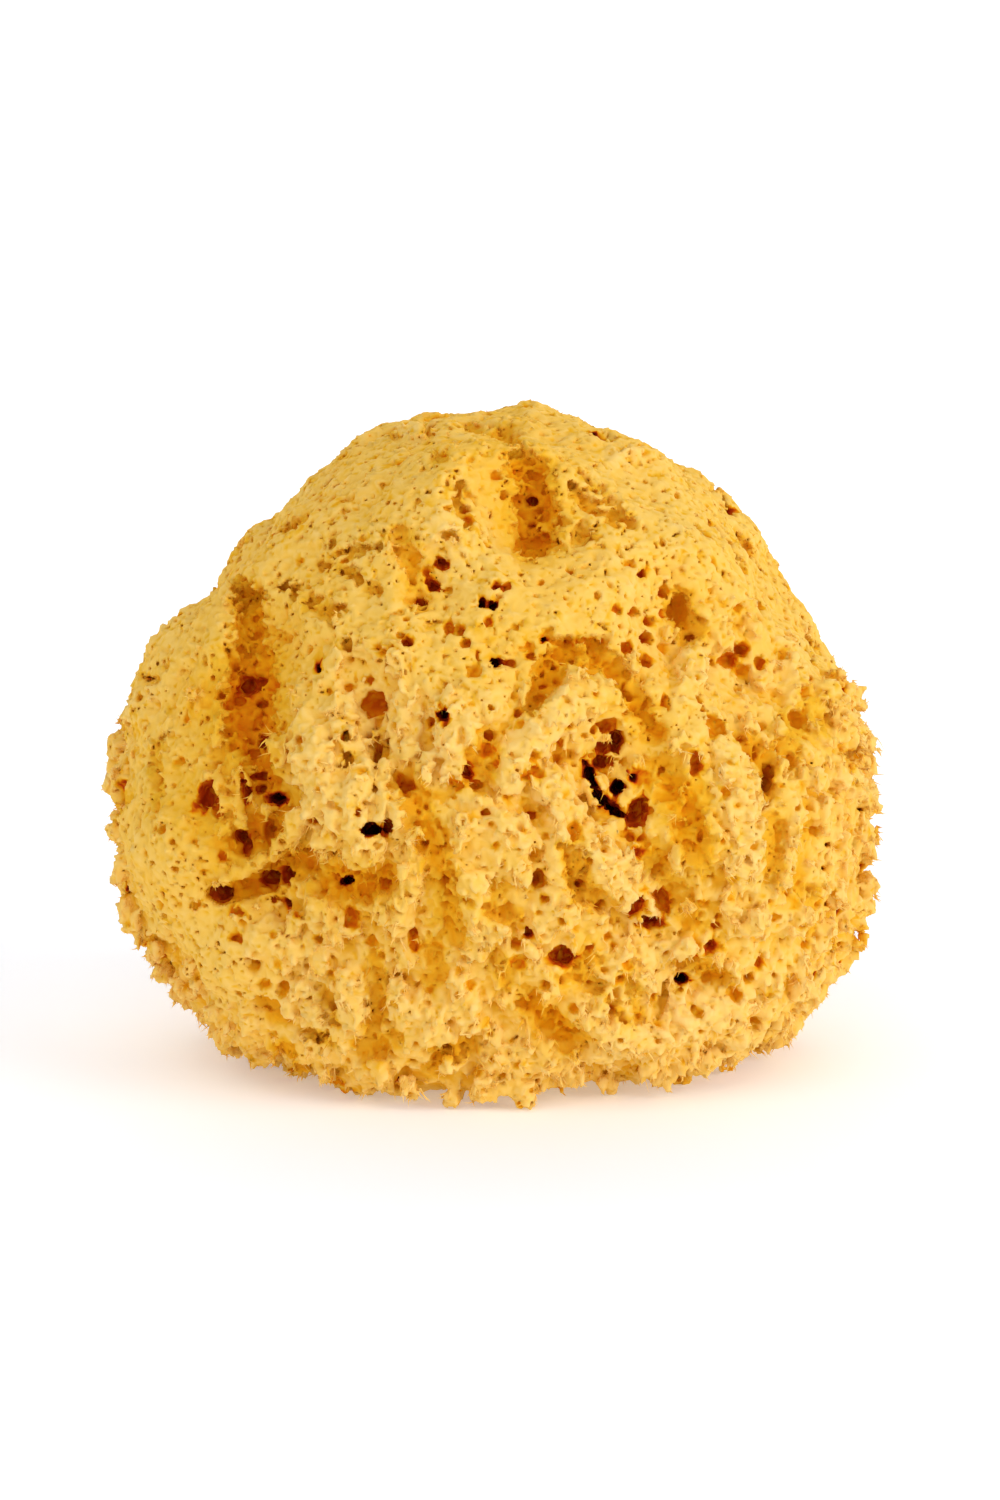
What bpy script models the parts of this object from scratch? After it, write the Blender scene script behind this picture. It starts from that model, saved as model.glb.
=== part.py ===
"""A natural bath sponge: one domed, lobed body, pitted with pores and cut flat where it grew on the rock.

The sponge grew as one piece, so it is one solid.  A sphere is drawn out to the outline of the real
sponge, swollen into lobes and pressed into folds, roughened, pierced by its larger pores and cut
level at the floor.  Lengths are in metres, +Z is up, and the front of the sponge faces -Y.
"""

import math

import bpy
import numpy as np
from mathutils import Matrix, Vector
from mathutils.bvhtree import BVHTree

MM = 0.001

# Driving sizes
WIDTH = 140 * MM               # left to right, across the front
SPHERE_DETAIL = 5              # subdivisions of the starting sphere: triangles about 4 mm long
SECTION_SQUARENESS = 2.25      # 2 is an ellipse, more is a squarer plan
LUMP_SIZE = 17 * MM            # spacing of the lumps that cover the body
LUMP_HEIGHT = 7 * MM           # highest lump to lowest hollow
PORE_TAPER = 0.55              # width of a pore's inner end over its mouth
PORE_SIDES = 10
PORE_PROUD = 4 * MM            # how far a cutter starts outside the surface
VIEW_TILT = math.radians(10)   # places on the body are given as seen from slightly above
VIEW_DISTANCE = 752 * MM       # and from this far away

# Outline of the body: height, left, right, front and back edge of each level, in millimetres
LEVELS = (
    (-7, 4, 10, -4, 0),
    (-3, -21, 35, -23, 22),
    (0, -35, 46, -34, 32),
    (4, -48, 54, -41, 38),
    (10, -55, 59.5, -46, 43),
    (17, -57.5, 62, -50, 47),
    (26, -60.5, 63, -53, 50),
    (39, -66.5, 66, -56, 54),
    (48, -66.5, 67.5, -57, 56),
    (57, -62, 67, -56, 57),
    (67, -60, 61, -54, 56),
    (79, -53, 53, -50, 53),
    (91, -40, 44.5, -44, 48),
    (99, -34, 37.5, -38, 42),
    (105, -26.5, 28, -29, 33),
    (110, -18, 17, -17, 22),
    (114.5, -4, 5, 1, 5),
)

# Lobes (outward) and folds (inward): the side they are seen from in degrees, across and up
# on that side, reach and height, in millimetres.  Side 0 is the front, 90 the right.
LOBES = (
    (0, 2, 106, 15, 4), (0, 26, 106, 9, 4), (0, -14, 98, 14, 3), (0, 37, 89, 16, 3),
    (0, 14, 40, 12, 4), (0, 45, 45, 14, 4), (0, -29, 49, 11, 4), (0, -57, 44, 13, 4),
    (0, -8, 35, 12, 3), (0, 27, 8, 12, 3), (0, 5, -3, 9, 4), (0, -17, -2, 9, 3),
    (0, -44, 15, 13, 3), (0, 55, 22, 12, 3), (0, 5, 66, 14, 2),
    (90, -24, 60, 14, 4), (90, 22, 40, 15, 4), (90, 24, 90, 13, 3), (90, -6, 18, 12, 3),
    (180, -34, 62, 17, 4), (180, 4, 44, 16, 4), (180, 38, 66, 15, 4), (180, 30, 20, 14, 3),
    (180, -26, 18, 14, 3), (180, 0, 92, 15, 3),
    (270, -22, 44, 14, 4), (270, 18, 62, 16, 4), (270, 26, 24, 13, 3), (270, -20, 84, 12, 3),
)
FOLDS = (
    (0, 9, 97, 8, 7), (0, 4, 103, 6, 4), (0, -44, 90, 7, 4), (0, -41, 77, 6, 4), (0, -40, 66, 7, 5),
    (0, -39, 52, 6, 5), (0, -38, 40, 7, 4), (0, -40, 30, 7, 4), (0, 21, 56, 9, 4), (0, 26, 46, 7, 3),
    (0, 33, 80, 7, 4), (0, 44, 71, 8, 3), (0, 28, 26, 8, 4), (0, -21, 63, 7, 4), (0, -51, 46, 7, 3),
    (0, -10, 88, 7, 3), (0, 13, 17, 7, 3), (0, 50, 52, 6, 3), (0, 34, 13, 6, 3),
    (90, -2, 46, 8, 5), (90, -4, 58, 8, 4), (90, 30, 62, 9, 4), (90, 14, 22, 8, 4),
    (180, -14, 66, 9, 5), (180, -12, 54, 8, 5), (180, 22, 42, 9, 5), (180, -40, 36, 9, 4),
    (180, 16, 80, 8, 4), (180, 2, 22, 8, 3),
    (270, -2, 52, 8, 5), (270, 0, 66, 8, 4), (270, 8, 36, 8, 5), (270, -26, 26, 8, 4), (270, 2, 80, 7, 4),
)

# The larger pores: side, across, up, mouth width, mouth height, turn in degrees, depth
PORES = (
    (0, 7.5, 92.5, 5.2, 3.0, 0, 9), (0, -9.8, 87.0, 2.8, 5.2, -35, 9), (0, -1.0, 81.0, 4.0, 2.2, 0, 9),
    (0, -21.0, 63.2, 5.0, 4.4, 0, 11), (0, 33.5, 80.0, 3.4, 6.0, 0, 8), (0, 43.5, 71.8, 4.2, 3.4, 0, 9),
    (0, 20.6, 56.6, 4.2, 7.0, 0, 14), (0, 19.6, 47.6, 2.4, 9.0, -38, 10), (0, 26.0, 48.4, 4.2, 4.2, 0, 12),
    (0, 25.8, 42.2, 4.0, 5.2, -20, 12), (0, 28.2, 26.0, 6.4, 5.2, 25, 13), (0, 36.7, 52.2, 2.6, 3.8, 20, 9),
    (0, 49.5, 49.6, 2.6, 4.8, 0, 9), (0, -44.3, 66.2, 4.2, 4.0, 0, 12), (0, -51.0, 45.4, 5.6, 6.2, 0, 13),
    (0, -40.6, 46.4, 4.8, 2.4, 10, 11), (0, -38.6, 31.8, 6.2, 3.4, 20, 12), (0, -49.2, 28.8, 4.2, 4.0, 0, 12),
    (0, -21.0, 40.4, 5.4, 3.2, -15, 11), (0, -15.6, 48.6, 4.0, 3.2, 0, 8), (0, 12.6, 17.4, 4.2, 4.0, 0, 11),
    (0, 8.2, 31.6, 2.8, 3.6, 0, 8), (0, 14.8, 40.2, 2.8, 3.4, 0, 7), (0, -25.8, 23.8, 3.0, 3.6, 0, 9),
    (0, 33.8, 13.4, 3.0, 2.6, 0, 8), (0, 40.4, 59.2, 4.2, 3.6, 0, 7), (0, 27.4, 71.6, 3.2, 4.4, 0, 8),
    (90, -30, 74, 4, 4, 0, 10), (90, -12, 34, 6, 5, 20, 13), (90, 4, 66, 5, 4, 0, 11),
    (90, 26, 52, 6, 5, -30, 13), (90, 22, 84, 4, 4, 0, 9), (90, 34, 30, 5, 4, 0, 11),
    (90, -34, 48, 4, 5, 0, 10), (90, 6, 24, 4, 3, 0, 9),
    (180, -44, 50, 5, 5, 0, 12), (180, -22, 78, 5, 4, 0, 11), (180, -10, 58, 7, 6, 30, 15),
    (180, -30, 32, 5, 4, 0, 11), (180, 6, 34, 5, 5, 0, 12), (180, 18, 58, 6, 5, -20, 14),
    (180, 40, 48, 5, 4, 0, 11), (180, 14, 86, 4, 4, 0, 9), (180, 32, 76, 4, 5, 0, 10),
    (180, -8, 16, 4, 3, 0, 9), (180, 36, 28, 4, 4, 0, 10),
    (270, -30, 58, 5, 4, 0, 11), (270, -8, 44, 6, 5, -25, 14), (270, 12, 74, 5, 4, 0, 11),
    (270, 30, 48, 6, 5, 20, 13), (270, 14, 30, 4, 4, 0, 10), (270, -24, 32, 4, 3, 0, 9),
    (270, -14, 80, 4, 4, 0, 9),
)

# Finish
GOLD = (0.80, 0.48, 0.10, 1.0)
SPONGE_ROUGHNESS = 0.9


def clear_scene():
    """Remove the objects that the scene starts with."""
    for obj in list(bpy.data.objects):
        bpy.data.objects.remove(obj, do_unlink=True)


def new_collection(name):
    """A collection of that name, linked to the scene."""
    collection = bpy.data.collections.new(name)
    bpy.context.scene.collection.children.link(collection)
    return collection


def move_to(obj, collection):
    """Take an object out of its collections and put it in this one."""
    for owner in list(obj.users_collection):
        owner.objects.unlink(obj)
    collection.objects.link(obj)


def sponge_material():
    """Dry golden sponge fibre."""
    material = bpy.data.materials.new("golden_sponge")
    material.use_nodes = True
    shader = material.node_tree.nodes["Principled BSDF"]
    shader.inputs["Base Color"].default_value = GOLD
    shader.inputs["Roughness"].default_value = SPONGE_ROUGHNESS
    shader.inputs["Metallic"].default_value = 0.0
    return material


def level_edges(height):
    """Left, right, front and back edge at a height, rounded over between the levels."""
    heights = [level[0] * MM for level in LEVELS]
    edges = []
    for column in range(1, 5):
        centre = (LEVELS[0][column], LEVELS[-1][column])
        middle = np.interp(height, (heights[0], heights[-1]), (centre[0] * MM, centre[1] * MM))
        reach = []
        for level in LEVELS:
            at_level = np.interp(level[0], (LEVELS[0][0], LEVELS[-1][0]), centre)
            reach.append(((level[column] - at_level) * MM) ** 2)
        sign = 1 if column in (2, 4) else -1
        edges.append(middle + sign * math.sqrt(np.interp(height, heights, reach)))
    return edges


def shape_body(obj):
    """Draw the unit sphere out to the outline given by the levels."""
    bottom = LEVELS[0][0] * MM
    top = LEVELS[-1][0] * MM
    power = 2 / SECTION_SQUARENESS
    for vertex in obj.data.vertices:
        direction = vertex.co.normalized()
        height = bottom + (top - bottom) * (direction.z + 1) / 2
        left, right, front, back = level_edges(height)
        angle = math.atan2(direction.y, direction.x)
        across = math.copysign(abs(math.cos(angle)) ** power, math.cos(angle))
        along = math.copysign(abs(math.sin(angle)) ** power, math.sin(angle))
        centre_x = (left + right) / 2
        centre_y = (front + back) / 2
        vertex.co = (centre_x + across * (right - left) / 2, centre_y + along * (back - front) / 2, height)
    obj.data.update()


def sight_line(side, across, up):
    """Eye point and direction of the line that meets a place as seen from a side of the body."""
    turn = Matrix.Rotation(math.radians(side), 3, "Z")
    towards = turn @ Vector((0, math.cos(VIEW_TILT), -math.sin(VIEW_TILT)))
    upward = turn @ Vector((0, math.sin(VIEW_TILT), math.cos(VIEW_TILT)))
    rightward = turn @ Vector((1, 0, 0))
    eye = -VIEW_DISTANCE * towards
    aim = rightward * across * MM + upward * up * MM
    return eye, (aim - eye).normalized()


def place_on(tree, side, across, up):
    """Point of the surface, and its outward normal, where the sight line first meets the body."""
    eye, direction = sight_line(side, across, up)
    point, normal, _, _ = tree.ray_cast(eye, direction)
    if point is None:
        raise ValueError(f"no surface at side {side}, across {across}, up {up}")
    return point, normal, direction


def surface_tree(obj):
    """Search tree of the object's evaluated surface."""
    return BVHTree.FromObject(obj, bpy.context.evaluated_depsgraph_get())


def swell(obj, places, outward):
    """Raise (outward 1) or press (outward -1) the surface softly around each place."""
    tree = surface_tree(obj)
    mesh = obj.data
    count = len(mesh.vertices)
    points = np.empty(count * 3)
    mesh.vertices.foreach_get("co", points)
    points = points.reshape(count, 3)
    moved = np.zeros_like(points)
    for side, across, up, reach, height in places:
        point, normal, _ = place_on(tree, side, across, up)
        distance = np.linalg.norm(points - np.array(point), axis=1)
        amount = height * MM * np.exp(-((distance / (reach * MM)) ** 2))
        moved += outward * amount[:, None] * np.array(normal)
    mesh.vertices.foreach_set("co", (points + moved).ravel())
    mesh.update()


def roughen(obj):
    """Cover the body with soft lumps, from a cloud pattern."""
    clouds = bpy.data.textures.new("lumps", "CLOUDS")
    clouds.noise_scale = LUMP_SIZE
    clouds.noise_depth = 1
    displace = obj.modifiers.new("lumps", "DISPLACE")
    displace.texture = clouds
    displace.texture_coords = "LOCAL"
    displace.strength = LUMP_HEIGHT
    displace.mid_level = 0.5


def cut_away(obj, cutters):
    """Take every cutter of a collection out of the body."""
    boolean = obj.modifiers.new("cuts", "BOOLEAN")
    boolean.operation = "DIFFERENCE"
    boolean.solver = "EXACT"
    boolean.operand_type = "COLLECTION"
    boolean.collection = cutters


def make_cutter(obj, name, cutters):
    """Keep a shape among the cutters, out of the finished object."""
    obj.name = name
    obj.hide_render = True
    obj.display_type = "WIRE"
    move_to(obj, cutters)


def pore_cutter(tree, pore):
    """Tapered plug that leaves one pore: it runs inward, between the sight line and the normal."""
    side, across, up, wide, high, turn, depth = pore
    point, normal, direction = place_on(tree, side, across, up)
    inward = (direction - normal).normalized()
    length = depth * MM + PORE_PROUD
    bpy.ops.mesh.primitive_cone_add(
        vertices=PORE_SIDES, radius1=PORE_TAPER / 2, radius2=0.5, depth=1, end_fill_type="NGON")
    plug = bpy.context.object
    outward = -inward
    sideways = outward.cross(Vector((0, 0, 1))).normalized() * -1
    upward = outward.cross(sideways)
    frame = Matrix((sideways, upward, outward)).transposed()
    turned = frame @ Matrix.Rotation(math.radians(turn), 3, "Z")
    size = Matrix.Diagonal((wide * MM, high * MM, length))
    middle = point + outward * (PORE_PROUD - length / 2)
    plug.data.transform((turned @ size).to_4x4())
    plug.location = middle
    return plug


def floor_cutter():
    """Block below the floor: what it takes away leaves the flat cut that the sponge rests on."""
    block_depth = 40 * MM
    bpy.ops.mesh.primitive_cube_add(size=1, location=(0, 0, -block_depth / 2))
    block = bpy.context.object
    block.data.transform(Matrix.Diagonal((2 * WIDTH, 2 * WIDTH, block_depth, 1)))
    return block


def finish_body(obj):
    """Apply the cuts, size the body to its width and stand it centred over the origin."""
    evaluated = obj.evaluated_get(bpy.context.evaluated_depsgraph_get())
    mesh = bpy.data.meshes.new_from_object(evaluated)
    obj.modifiers.clear()
    obj.data = mesh
    points = np.empty(len(mesh.vertices) * 3)
    mesh.vertices.foreach_get("co", points)
    points = points.reshape(-1, 3)
    low = points.min(axis=0)
    high = points.max(axis=0)
    scale = WIDTH / (high[0] - low[0])
    centre = (low + high) / 2
    mesh.transform(Matrix.Translation((-centre[0] * scale, -centre[1] * scale, 0)) @ Matrix.Scale(scale, 4))
    mesh.shade_smooth()
    mesh.set_sharp_from_angle(angle=math.radians(60))


def build_sponge():
    """The whole sponge, one solid."""
    clear_scene()
    parts = new_collection("Bath_Sponge")
    cutters = new_collection("Cutters")
    bpy.ops.mesh.primitive_ico_sphere_add(subdivisions=SPHERE_DETAIL, radius=1)
    sponge = bpy.context.object
    sponge.name = "sponge"
    move_to(sponge, parts)
    shape_body(sponge)
    swell(sponge, LOBES, 1)
    swell(sponge, FOLDS, -1)
    roughen(sponge)
    tree = surface_tree(sponge)
    for index, pore in enumerate(PORES):
        make_cutter(pore_cutter(tree, pore), f"pore_{index:02d}", cutters)
    make_cutter(floor_cutter(), "floor_cut", cutters)
    cut_away(sponge, cutters)
    finish_body(sponge)
    sponge.data.materials.clear()
    sponge.data.materials.append(sponge_material())
    return sponge


build_sponge()
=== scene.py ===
# %% [markdown]
# # A natural bath sponge
#
# The object is a dry bath sponge: one springy lump of horny fibre, golden yellow, domed, cut flat
# where it grew on the rock. Its skin is all holes and tufts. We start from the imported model, which
# has the right outline, lobes and size, and grow the fine surface on it.
#
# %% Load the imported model
import math
import time

import bpy
import numpy as np
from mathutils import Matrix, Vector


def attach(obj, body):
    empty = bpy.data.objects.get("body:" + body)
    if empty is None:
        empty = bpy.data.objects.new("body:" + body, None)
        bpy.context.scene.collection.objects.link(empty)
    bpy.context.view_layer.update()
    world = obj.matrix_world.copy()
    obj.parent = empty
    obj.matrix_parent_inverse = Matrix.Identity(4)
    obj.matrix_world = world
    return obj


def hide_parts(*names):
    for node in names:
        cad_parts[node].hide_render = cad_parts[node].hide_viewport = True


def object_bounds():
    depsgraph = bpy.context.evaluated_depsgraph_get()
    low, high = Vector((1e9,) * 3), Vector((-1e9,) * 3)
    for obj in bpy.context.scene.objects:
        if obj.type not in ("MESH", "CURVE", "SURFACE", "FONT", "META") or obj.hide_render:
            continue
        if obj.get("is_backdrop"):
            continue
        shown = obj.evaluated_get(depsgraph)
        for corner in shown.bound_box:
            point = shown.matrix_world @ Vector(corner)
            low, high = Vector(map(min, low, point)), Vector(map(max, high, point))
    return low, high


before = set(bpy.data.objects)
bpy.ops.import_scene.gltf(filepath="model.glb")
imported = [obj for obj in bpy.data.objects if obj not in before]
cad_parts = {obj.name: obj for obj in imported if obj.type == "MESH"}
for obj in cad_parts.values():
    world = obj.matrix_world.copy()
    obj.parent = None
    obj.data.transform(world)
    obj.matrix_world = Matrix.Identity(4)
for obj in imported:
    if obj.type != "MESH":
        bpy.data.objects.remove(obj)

import openvdb as vdb
from mathutils import Vector

MM = 0.001
started = time.time()
cad_low, cad_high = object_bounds()


def report(*what):
    """Print what was made and the seconds it has taken since the start."""
    print(*what, "| seconds:", round(time.time() - started, 1))


report("packed model, mm:", [round(side / MM, 1) for side in cad_high - cad_low])

# %% [markdown]
# ## The camera
#
# The photograph looks slightly down on the sponge, from straight in front. A long lens from three
# quarters of a metre flattens it the way the photograph does. The sponge is 775 of the picture's
# 1000 pixels wide, and that width is 140 mm, which gives the size of a pixel at the sponge.

# %% Place the camera
PICTURE = (1000, 1500)                 # width and height of the photograph, in pixels
PIXEL = 140 * MM / 775                 # size of one pixel at the sponge's middle
AXIS_COLUMN = 492.5                    # the picture column that the origin falls in
FLOOR_ROW = 1048                       # and its row
LOOK_DOWN = math.radians(10)
LENS = 100.0
SENSOR = 36.0

eye_distance = PIXEL * LENS / (SENSOR / PICTURE[1])
look = Vector((0, math.cos(LOOK_DOWN), -math.sin(LOOK_DOWN)))
picture_up = Vector((0, math.sin(LOOK_DOWN), math.cos(LOOK_DOWN)))
picture_right = Vector((1, 0, 0))


def picture_point(column, row):
    """The point behind a pixel, on the plane through the sponge's axis that faces the camera."""
    return picture_right * (column - AXIS_COLUMN) * PIXEL + picture_up * (FLOOR_ROW - row) * PIXEL


aim = picture_point(PICTURE[0] / 2, PICTURE[1] / 2)
eye = aim - look * eye_distance
camera_data = bpy.data.cameras.new("camera")
camera_data.lens = LENS
camera_data.sensor_width = SENSOR
camera = bpy.data.objects.new("camera", camera_data)
bpy.context.scene.collection.objects.link(camera)
camera.location = eye
camera.rotation_euler = look.to_track_quat("-Z", "Y").to_euler()
bpy.context.scene.camera = camera
report("camera stands off, mm:", round(eye_distance / MM))

# %% [markdown]
# ## A plain hull to grow on
#
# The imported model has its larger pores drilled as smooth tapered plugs. Real pores are ragged, so we
# fill those first and open them again below, with fibre round their rims. Filling is done with
# distances: step 4.5 mm out from the skin, then 4.5 mm back in, and any hole narrower than 9 mm
# stays shut, while the broad lobes and folds keep their shape.

# %% Fill the drilled pores
HULL_STEP = 1.0 * MM
FILL = 4.5 * MM
AIR = 5.0 * MM                         # room left round the sponge


def distances_to(points, triangles=None, quads=None, reach=8.0):
    """Signed distances to a closed mesh, inside a band of that many steps on each side."""
    spacing = vdb.createLinearTransform(voxelSize=HULL_STEP)
    return vdb.FloatGrid.createLevelSetFromPolygons(
        points.astype(np.float32), triangles=triangles, quads=quads, transform=spacing, halfWidth=reach)


def mesh_arrays(mesh):
    """Corner points and triangles of a mesh."""
    mesh.calc_loop_triangles()
    points = np.empty(len(mesh.vertices) * 3, np.float32)
    mesh.vertices.foreach_get("co", points)
    triangles = np.empty(len(mesh.loop_triangles) * 3, np.int32)
    mesh.loop_triangles.foreach_get("vertices", triangles)
    return points.reshape(-1, 3), triangles.reshape(-1, 3).astype(np.uint32)


points, triangles = mesh_arrays(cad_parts["sponge"].data)
swollen = distances_to(points, triangles=triangles).convertToQuads(isovalue=FILL)
hull_points, hull_quads = distances_to(swollen[0], quads=swollen[1]).convertToQuads(isovalue=-FILL)
hull_quads = hull_quads[:, ::-1]       # so that the faces look outward

hull_grid = distances_to(hull_points, quads=hull_quads, reach=12.0)
hull_low = hull_points.min(0) - 2 * AIR
hull_high = hull_points.max(0) + 2 * AIR
hull_first = np.floor(hull_low / HULL_STEP).astype(int)
hull = np.empty(tuple(np.ceil(hull_high / HULL_STEP).astype(int) - hull_first + 1), np.float32)
hull_grid.copyToArray(hull, ijk=tuple(int(n) for n in hull_first))
hull_slope = np.stack(np.gradient(hull, HULL_STEP), axis=-1)
report("hull faces:", len(hull_quads))

# %% [markdown]
# Everything below asks the hull the same few questions: how far a point is from its skin, which way is
# out, and where the camera's line through a pixel meets it. The grid answers by mixing the values of
# the eight spots round the point.

# %% Reading the hull


def sample(values, first, step, points):
    """Values of a grid at points between its spots."""
    spot = points / step - first
    base = np.clip(np.floor(spot).astype(int), 0, np.array(values.shape[:3]) - 2)
    share = np.clip(spot - base, 0, 1).astype(np.float32)
    total = 0
    for corner in np.ndindex(2, 2, 2):
        weight = np.prod(np.where(corner, share, 1 - share), axis=1)
        index = tuple((base + corner).T)
        total = total + (values[index].T * weight).T
    return total


def unit(vectors):
    """The same directions with a length of one."""
    return vectors / np.maximum(np.linalg.norm(vectors, axis=-1, keepdims=True), 1e-9)


def outward_at(points):
    """Direction straight out of the hull at each point."""
    return unit(sample(hull_slope, hull_first, HULL_STEP, points))


def smooth_step(value, start, end):
    """0 before the start, 1 after the end, and a smooth turn between."""
    share = np.clip((value - start) / (end - start), 0, 1)
    return share * share * (3 - 2 * share)


def on_hull(pixels):
    """Where the lines through some pixels meet the hull, or pass it closest."""
    pixels = np.asarray(pixels, float).reshape(-1, 2)
    flat = np.array([picture_point(column, row) for column, row in pixels])
    ray = unit(flat - np.array(eye))
    travel = np.linalg.norm(flat - np.array(eye), axis=1)[:, None] + np.arange(-90, 91, 0.5) * MM
    spots = np.array(eye) + ray[:, None, :] * travel[:, :, None]
    gaps = sample(hull, hull_first, HULL_STEP, spots.reshape(-1, 3)).reshape(travel.shape)
    reach = np.abs(spots - np.array((0, 0, 0.055))).max(axis=2)
    gaps = np.where(reach > 0.075, 1.0, gaps)
    hit = (gaps < 0).any(axis=1)
    pick = np.where(hit, (gaps < 0).argmax(axis=1), gaps.argmin(axis=1))
    return spots[np.arange(len(pixels)), pick], ray


# %% [markdown]
# ## Felt: the roughness that everything is cut from
#
# Nothing on a sponge is smooth. Blocks of noise hold bumps of chosen sizes; each wraps round at its
# sides, so it can be laid over the whole sponge. A block is white noise with all but those sizes
# filtered away. A combed block has its bumps drawn out downwards, like wet fur. Two more blocks hold
# lines: where a combed noise crosses nought there are hanging strands, and where two noises cross
# nought together there are fine channels that wander through the whole block.

# %% Felt noise
STEP = 0.42 * MM
FELT_SPOTS = 160


def felt_block(bumps, seed, spacing=STEP, comb=1.0):
    """Noise of the given bump sizes and strengths that repeats without a seam."""
    shape = (FELT_SPOTS,) * 3
    waves = np.fft.rfftn(np.random.default_rng(seed).standard_normal(shape).astype(np.float32))
    turns = np.fft.fftfreq(FELT_SPOTS, d=spacing)
    half = np.fft.rfftfreq(FELT_SPOTS, d=spacing) * comb
    pitch = np.sqrt(turns[:, None, None] ** 2 + turns[None, :, None] ** 2 + half[None, None, :] ** 2)
    total = 0
    for size, strength in bumps:
        band = np.exp(-(((pitch * size - 1) / 0.45) ** 2))
        layer = np.fft.irfftn(waves * band, s=shape)
        total = total + strength * layer / layer.std()
    return (total / total.std()).astype(np.float32)


felt = felt_block(((2.6 * MM, 0.6), (1.15 * MM, 1.0)), seed=11)
combed = felt_block(((2.4 * MM, 0.9), (1.2 * MM, 1.0)), seed=12, comb=2.6)
ragged = felt_block(((5.0 * MM, 1.0), (2.4 * MM, 0.8), (1.3 * MM, 0.5)), seed=16)
terraced = felt_block(((4.2 * MM, 1.0), (2.6 * MM, 0.6)), seed=17, comb=0.4)
strands = np.abs(felt_block(((2.5 * MM, 1.0), (1.5 * MM, 0.7)), seed=19, comb=3.0))
channels = np.hypot(felt_block(((2.1 * MM, 1.0),), seed=20), felt_block(((2.1 * MM, 1.0),), seed=21))
patches = felt_block(((26 * MM, 1.0), (10 * MM, 0.5)), seed=13, spacing=HULL_STEP)
lumps = felt_block(((9 * MM, 1.0), (5 * MM, 0.6)), seed=14, spacing=HULL_STEP)


def felt_over(block, points, spacing=STEP):
    """A felt block's value at points anywhere."""
    spot = np.floor(points / spacing).astype(int)
    return block[tuple((spot % FELT_SPOTS).T)]


report("felt made")

# %% [markdown]
# ## Velvet and shag
#
# The upper half of the sponge is fine and velvety and so are its flanks; the lower front is shaggy,
# with drooping tufts. One number from 0 to 1 says how shaggy the skin is at a point. It follows the
# height, wanders with a slow noise, and is set at some places that the photograph shows.

# %% How shaggy
VELVET_ABOVE = 84 * MM
SHAGGY_BELOW = 58 * MM
# column, row, radius in pixels, and how much shag is added there
SHAG_SPOTS = (
    (150, 680, 90, -0.9), (140, 860, 110, -0.9), (210, 980, 80, -0.6), (830, 640, 80, -0.7),
    (840, 980, 70, -0.4), (860, 860, 60, -0.3),
    (560, 715, 60, 0.5), (300, 770, 60, 0.5), (440, 740, 50, 0.4), (745, 800, 60, 0.3),
)
spot_middles, _ = on_hull([spot[:2] for spot in SHAG_SPOTS])


def shagginess(points):
    """0 where the skin is velvet, 1 where it is shaggy."""
    height = points[:, 2] + 6 * MM * felt_over(patches, points, HULL_STEP)
    shag = smooth_step(-height, -VELVET_ABOVE, -SHAGGY_BELOW)
    for middle, (_, _, radius, change) in zip(spot_middles, SHAG_SPOTS):
        near = ((points - middle) ** 2).sum(axis=1) / (radius * PIXEL) ** 2
        shag = shag + change * np.exp(-near)
    return np.clip(shag, 0, 1)


# %% [markdown]
# ## Clay made of distances
#
# The fine surface is sculpted in a block of numbers: each one says how far its spot is from the skin,
# less than zero inside and more than zero outside. In such a block a tuft is added with a minimum and
# a hole is dug with a maximum, and both can be softened so that they grow into each other like
# fibre. The skin starts a little inside the hull, deeper where it is shaggy, to leave the tufts
# their height. A second block keeps the painted shade of the recesses: how dark, as shade and as the
# orange glow of light come through the fibre, the walls of each hole are painted.

# %% Block of clay
SINK_VELVET = 0.8 * MM
SINK_SHAGGY = 2.3 * MM


def finer(values, low, high):
    """Hull-sized values read off at the clay's spacing, and the number of the first spot."""
    begin = np.floor(low / STEP).astype(int)
    count = np.ceil(high / STEP).astype(int) - begin + 1
    for axis in (2, 1, 0):
        spot = (begin[axis] + np.arange(count[axis])) * STEP / HULL_STEP - hull_first[axis]
        base = np.clip(np.floor(spot).astype(int), 0, values.shape[axis] - 2)
        share = (spot - base).astype(np.float32)
        share = share.reshape([-1 if n == axis else 1 for n in range(3)])
        values = np.take(values, base, axis) * (1 - share) + np.take(values, base + 1, axis) * share
    return values, begin


# column, row, radius in pixels, and how many millimetres the skin is moved out there
RELIEF_SPOTS = (
    (765, 530, 75, 1.6), (700, 480, 50, 1.0), (160, 640, 50, 0.6), (262, 520, 45, -1.1), (240, 560, 40, -0.8),
    (395, 435, 60, -1.0), (545, 400, 40, -1.0), (620, 440, 40, -0.7), (845, 690, 40, -0.8),
    (125, 780, 40, -0.9), (850, 960, 60, -0.8), (170, 970, 60, -0.9), (120, 900, 50, -0.6),
    (835, 1000, 40, 0.5),
)
relief_middles, _ = on_hull([spot[:2] for spot in RELIEF_SPOTS])
hull_spots = np.stack(np.meshgrid(
    *[(np.arange(n) + first) * HULL_STEP for n, first in zip(hull.shape, hull_first)],
    indexing="ij"), axis=-1).reshape(-1, 3)
near_skin = np.abs(hull.ravel()) < 7 * MM
hull_shag = np.zeros(hull.size, np.float32)
hull_shag[near_skin] = shagginess(hull_spots[near_skin])
relief = SINK_VELVET + (SINK_SHAGGY - SINK_VELVET) * hull_shag
relief = relief + (0.22 + 0.4 * hull_shag) * MM * felt_over(lumps, hull_spots, HULL_STEP)
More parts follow.
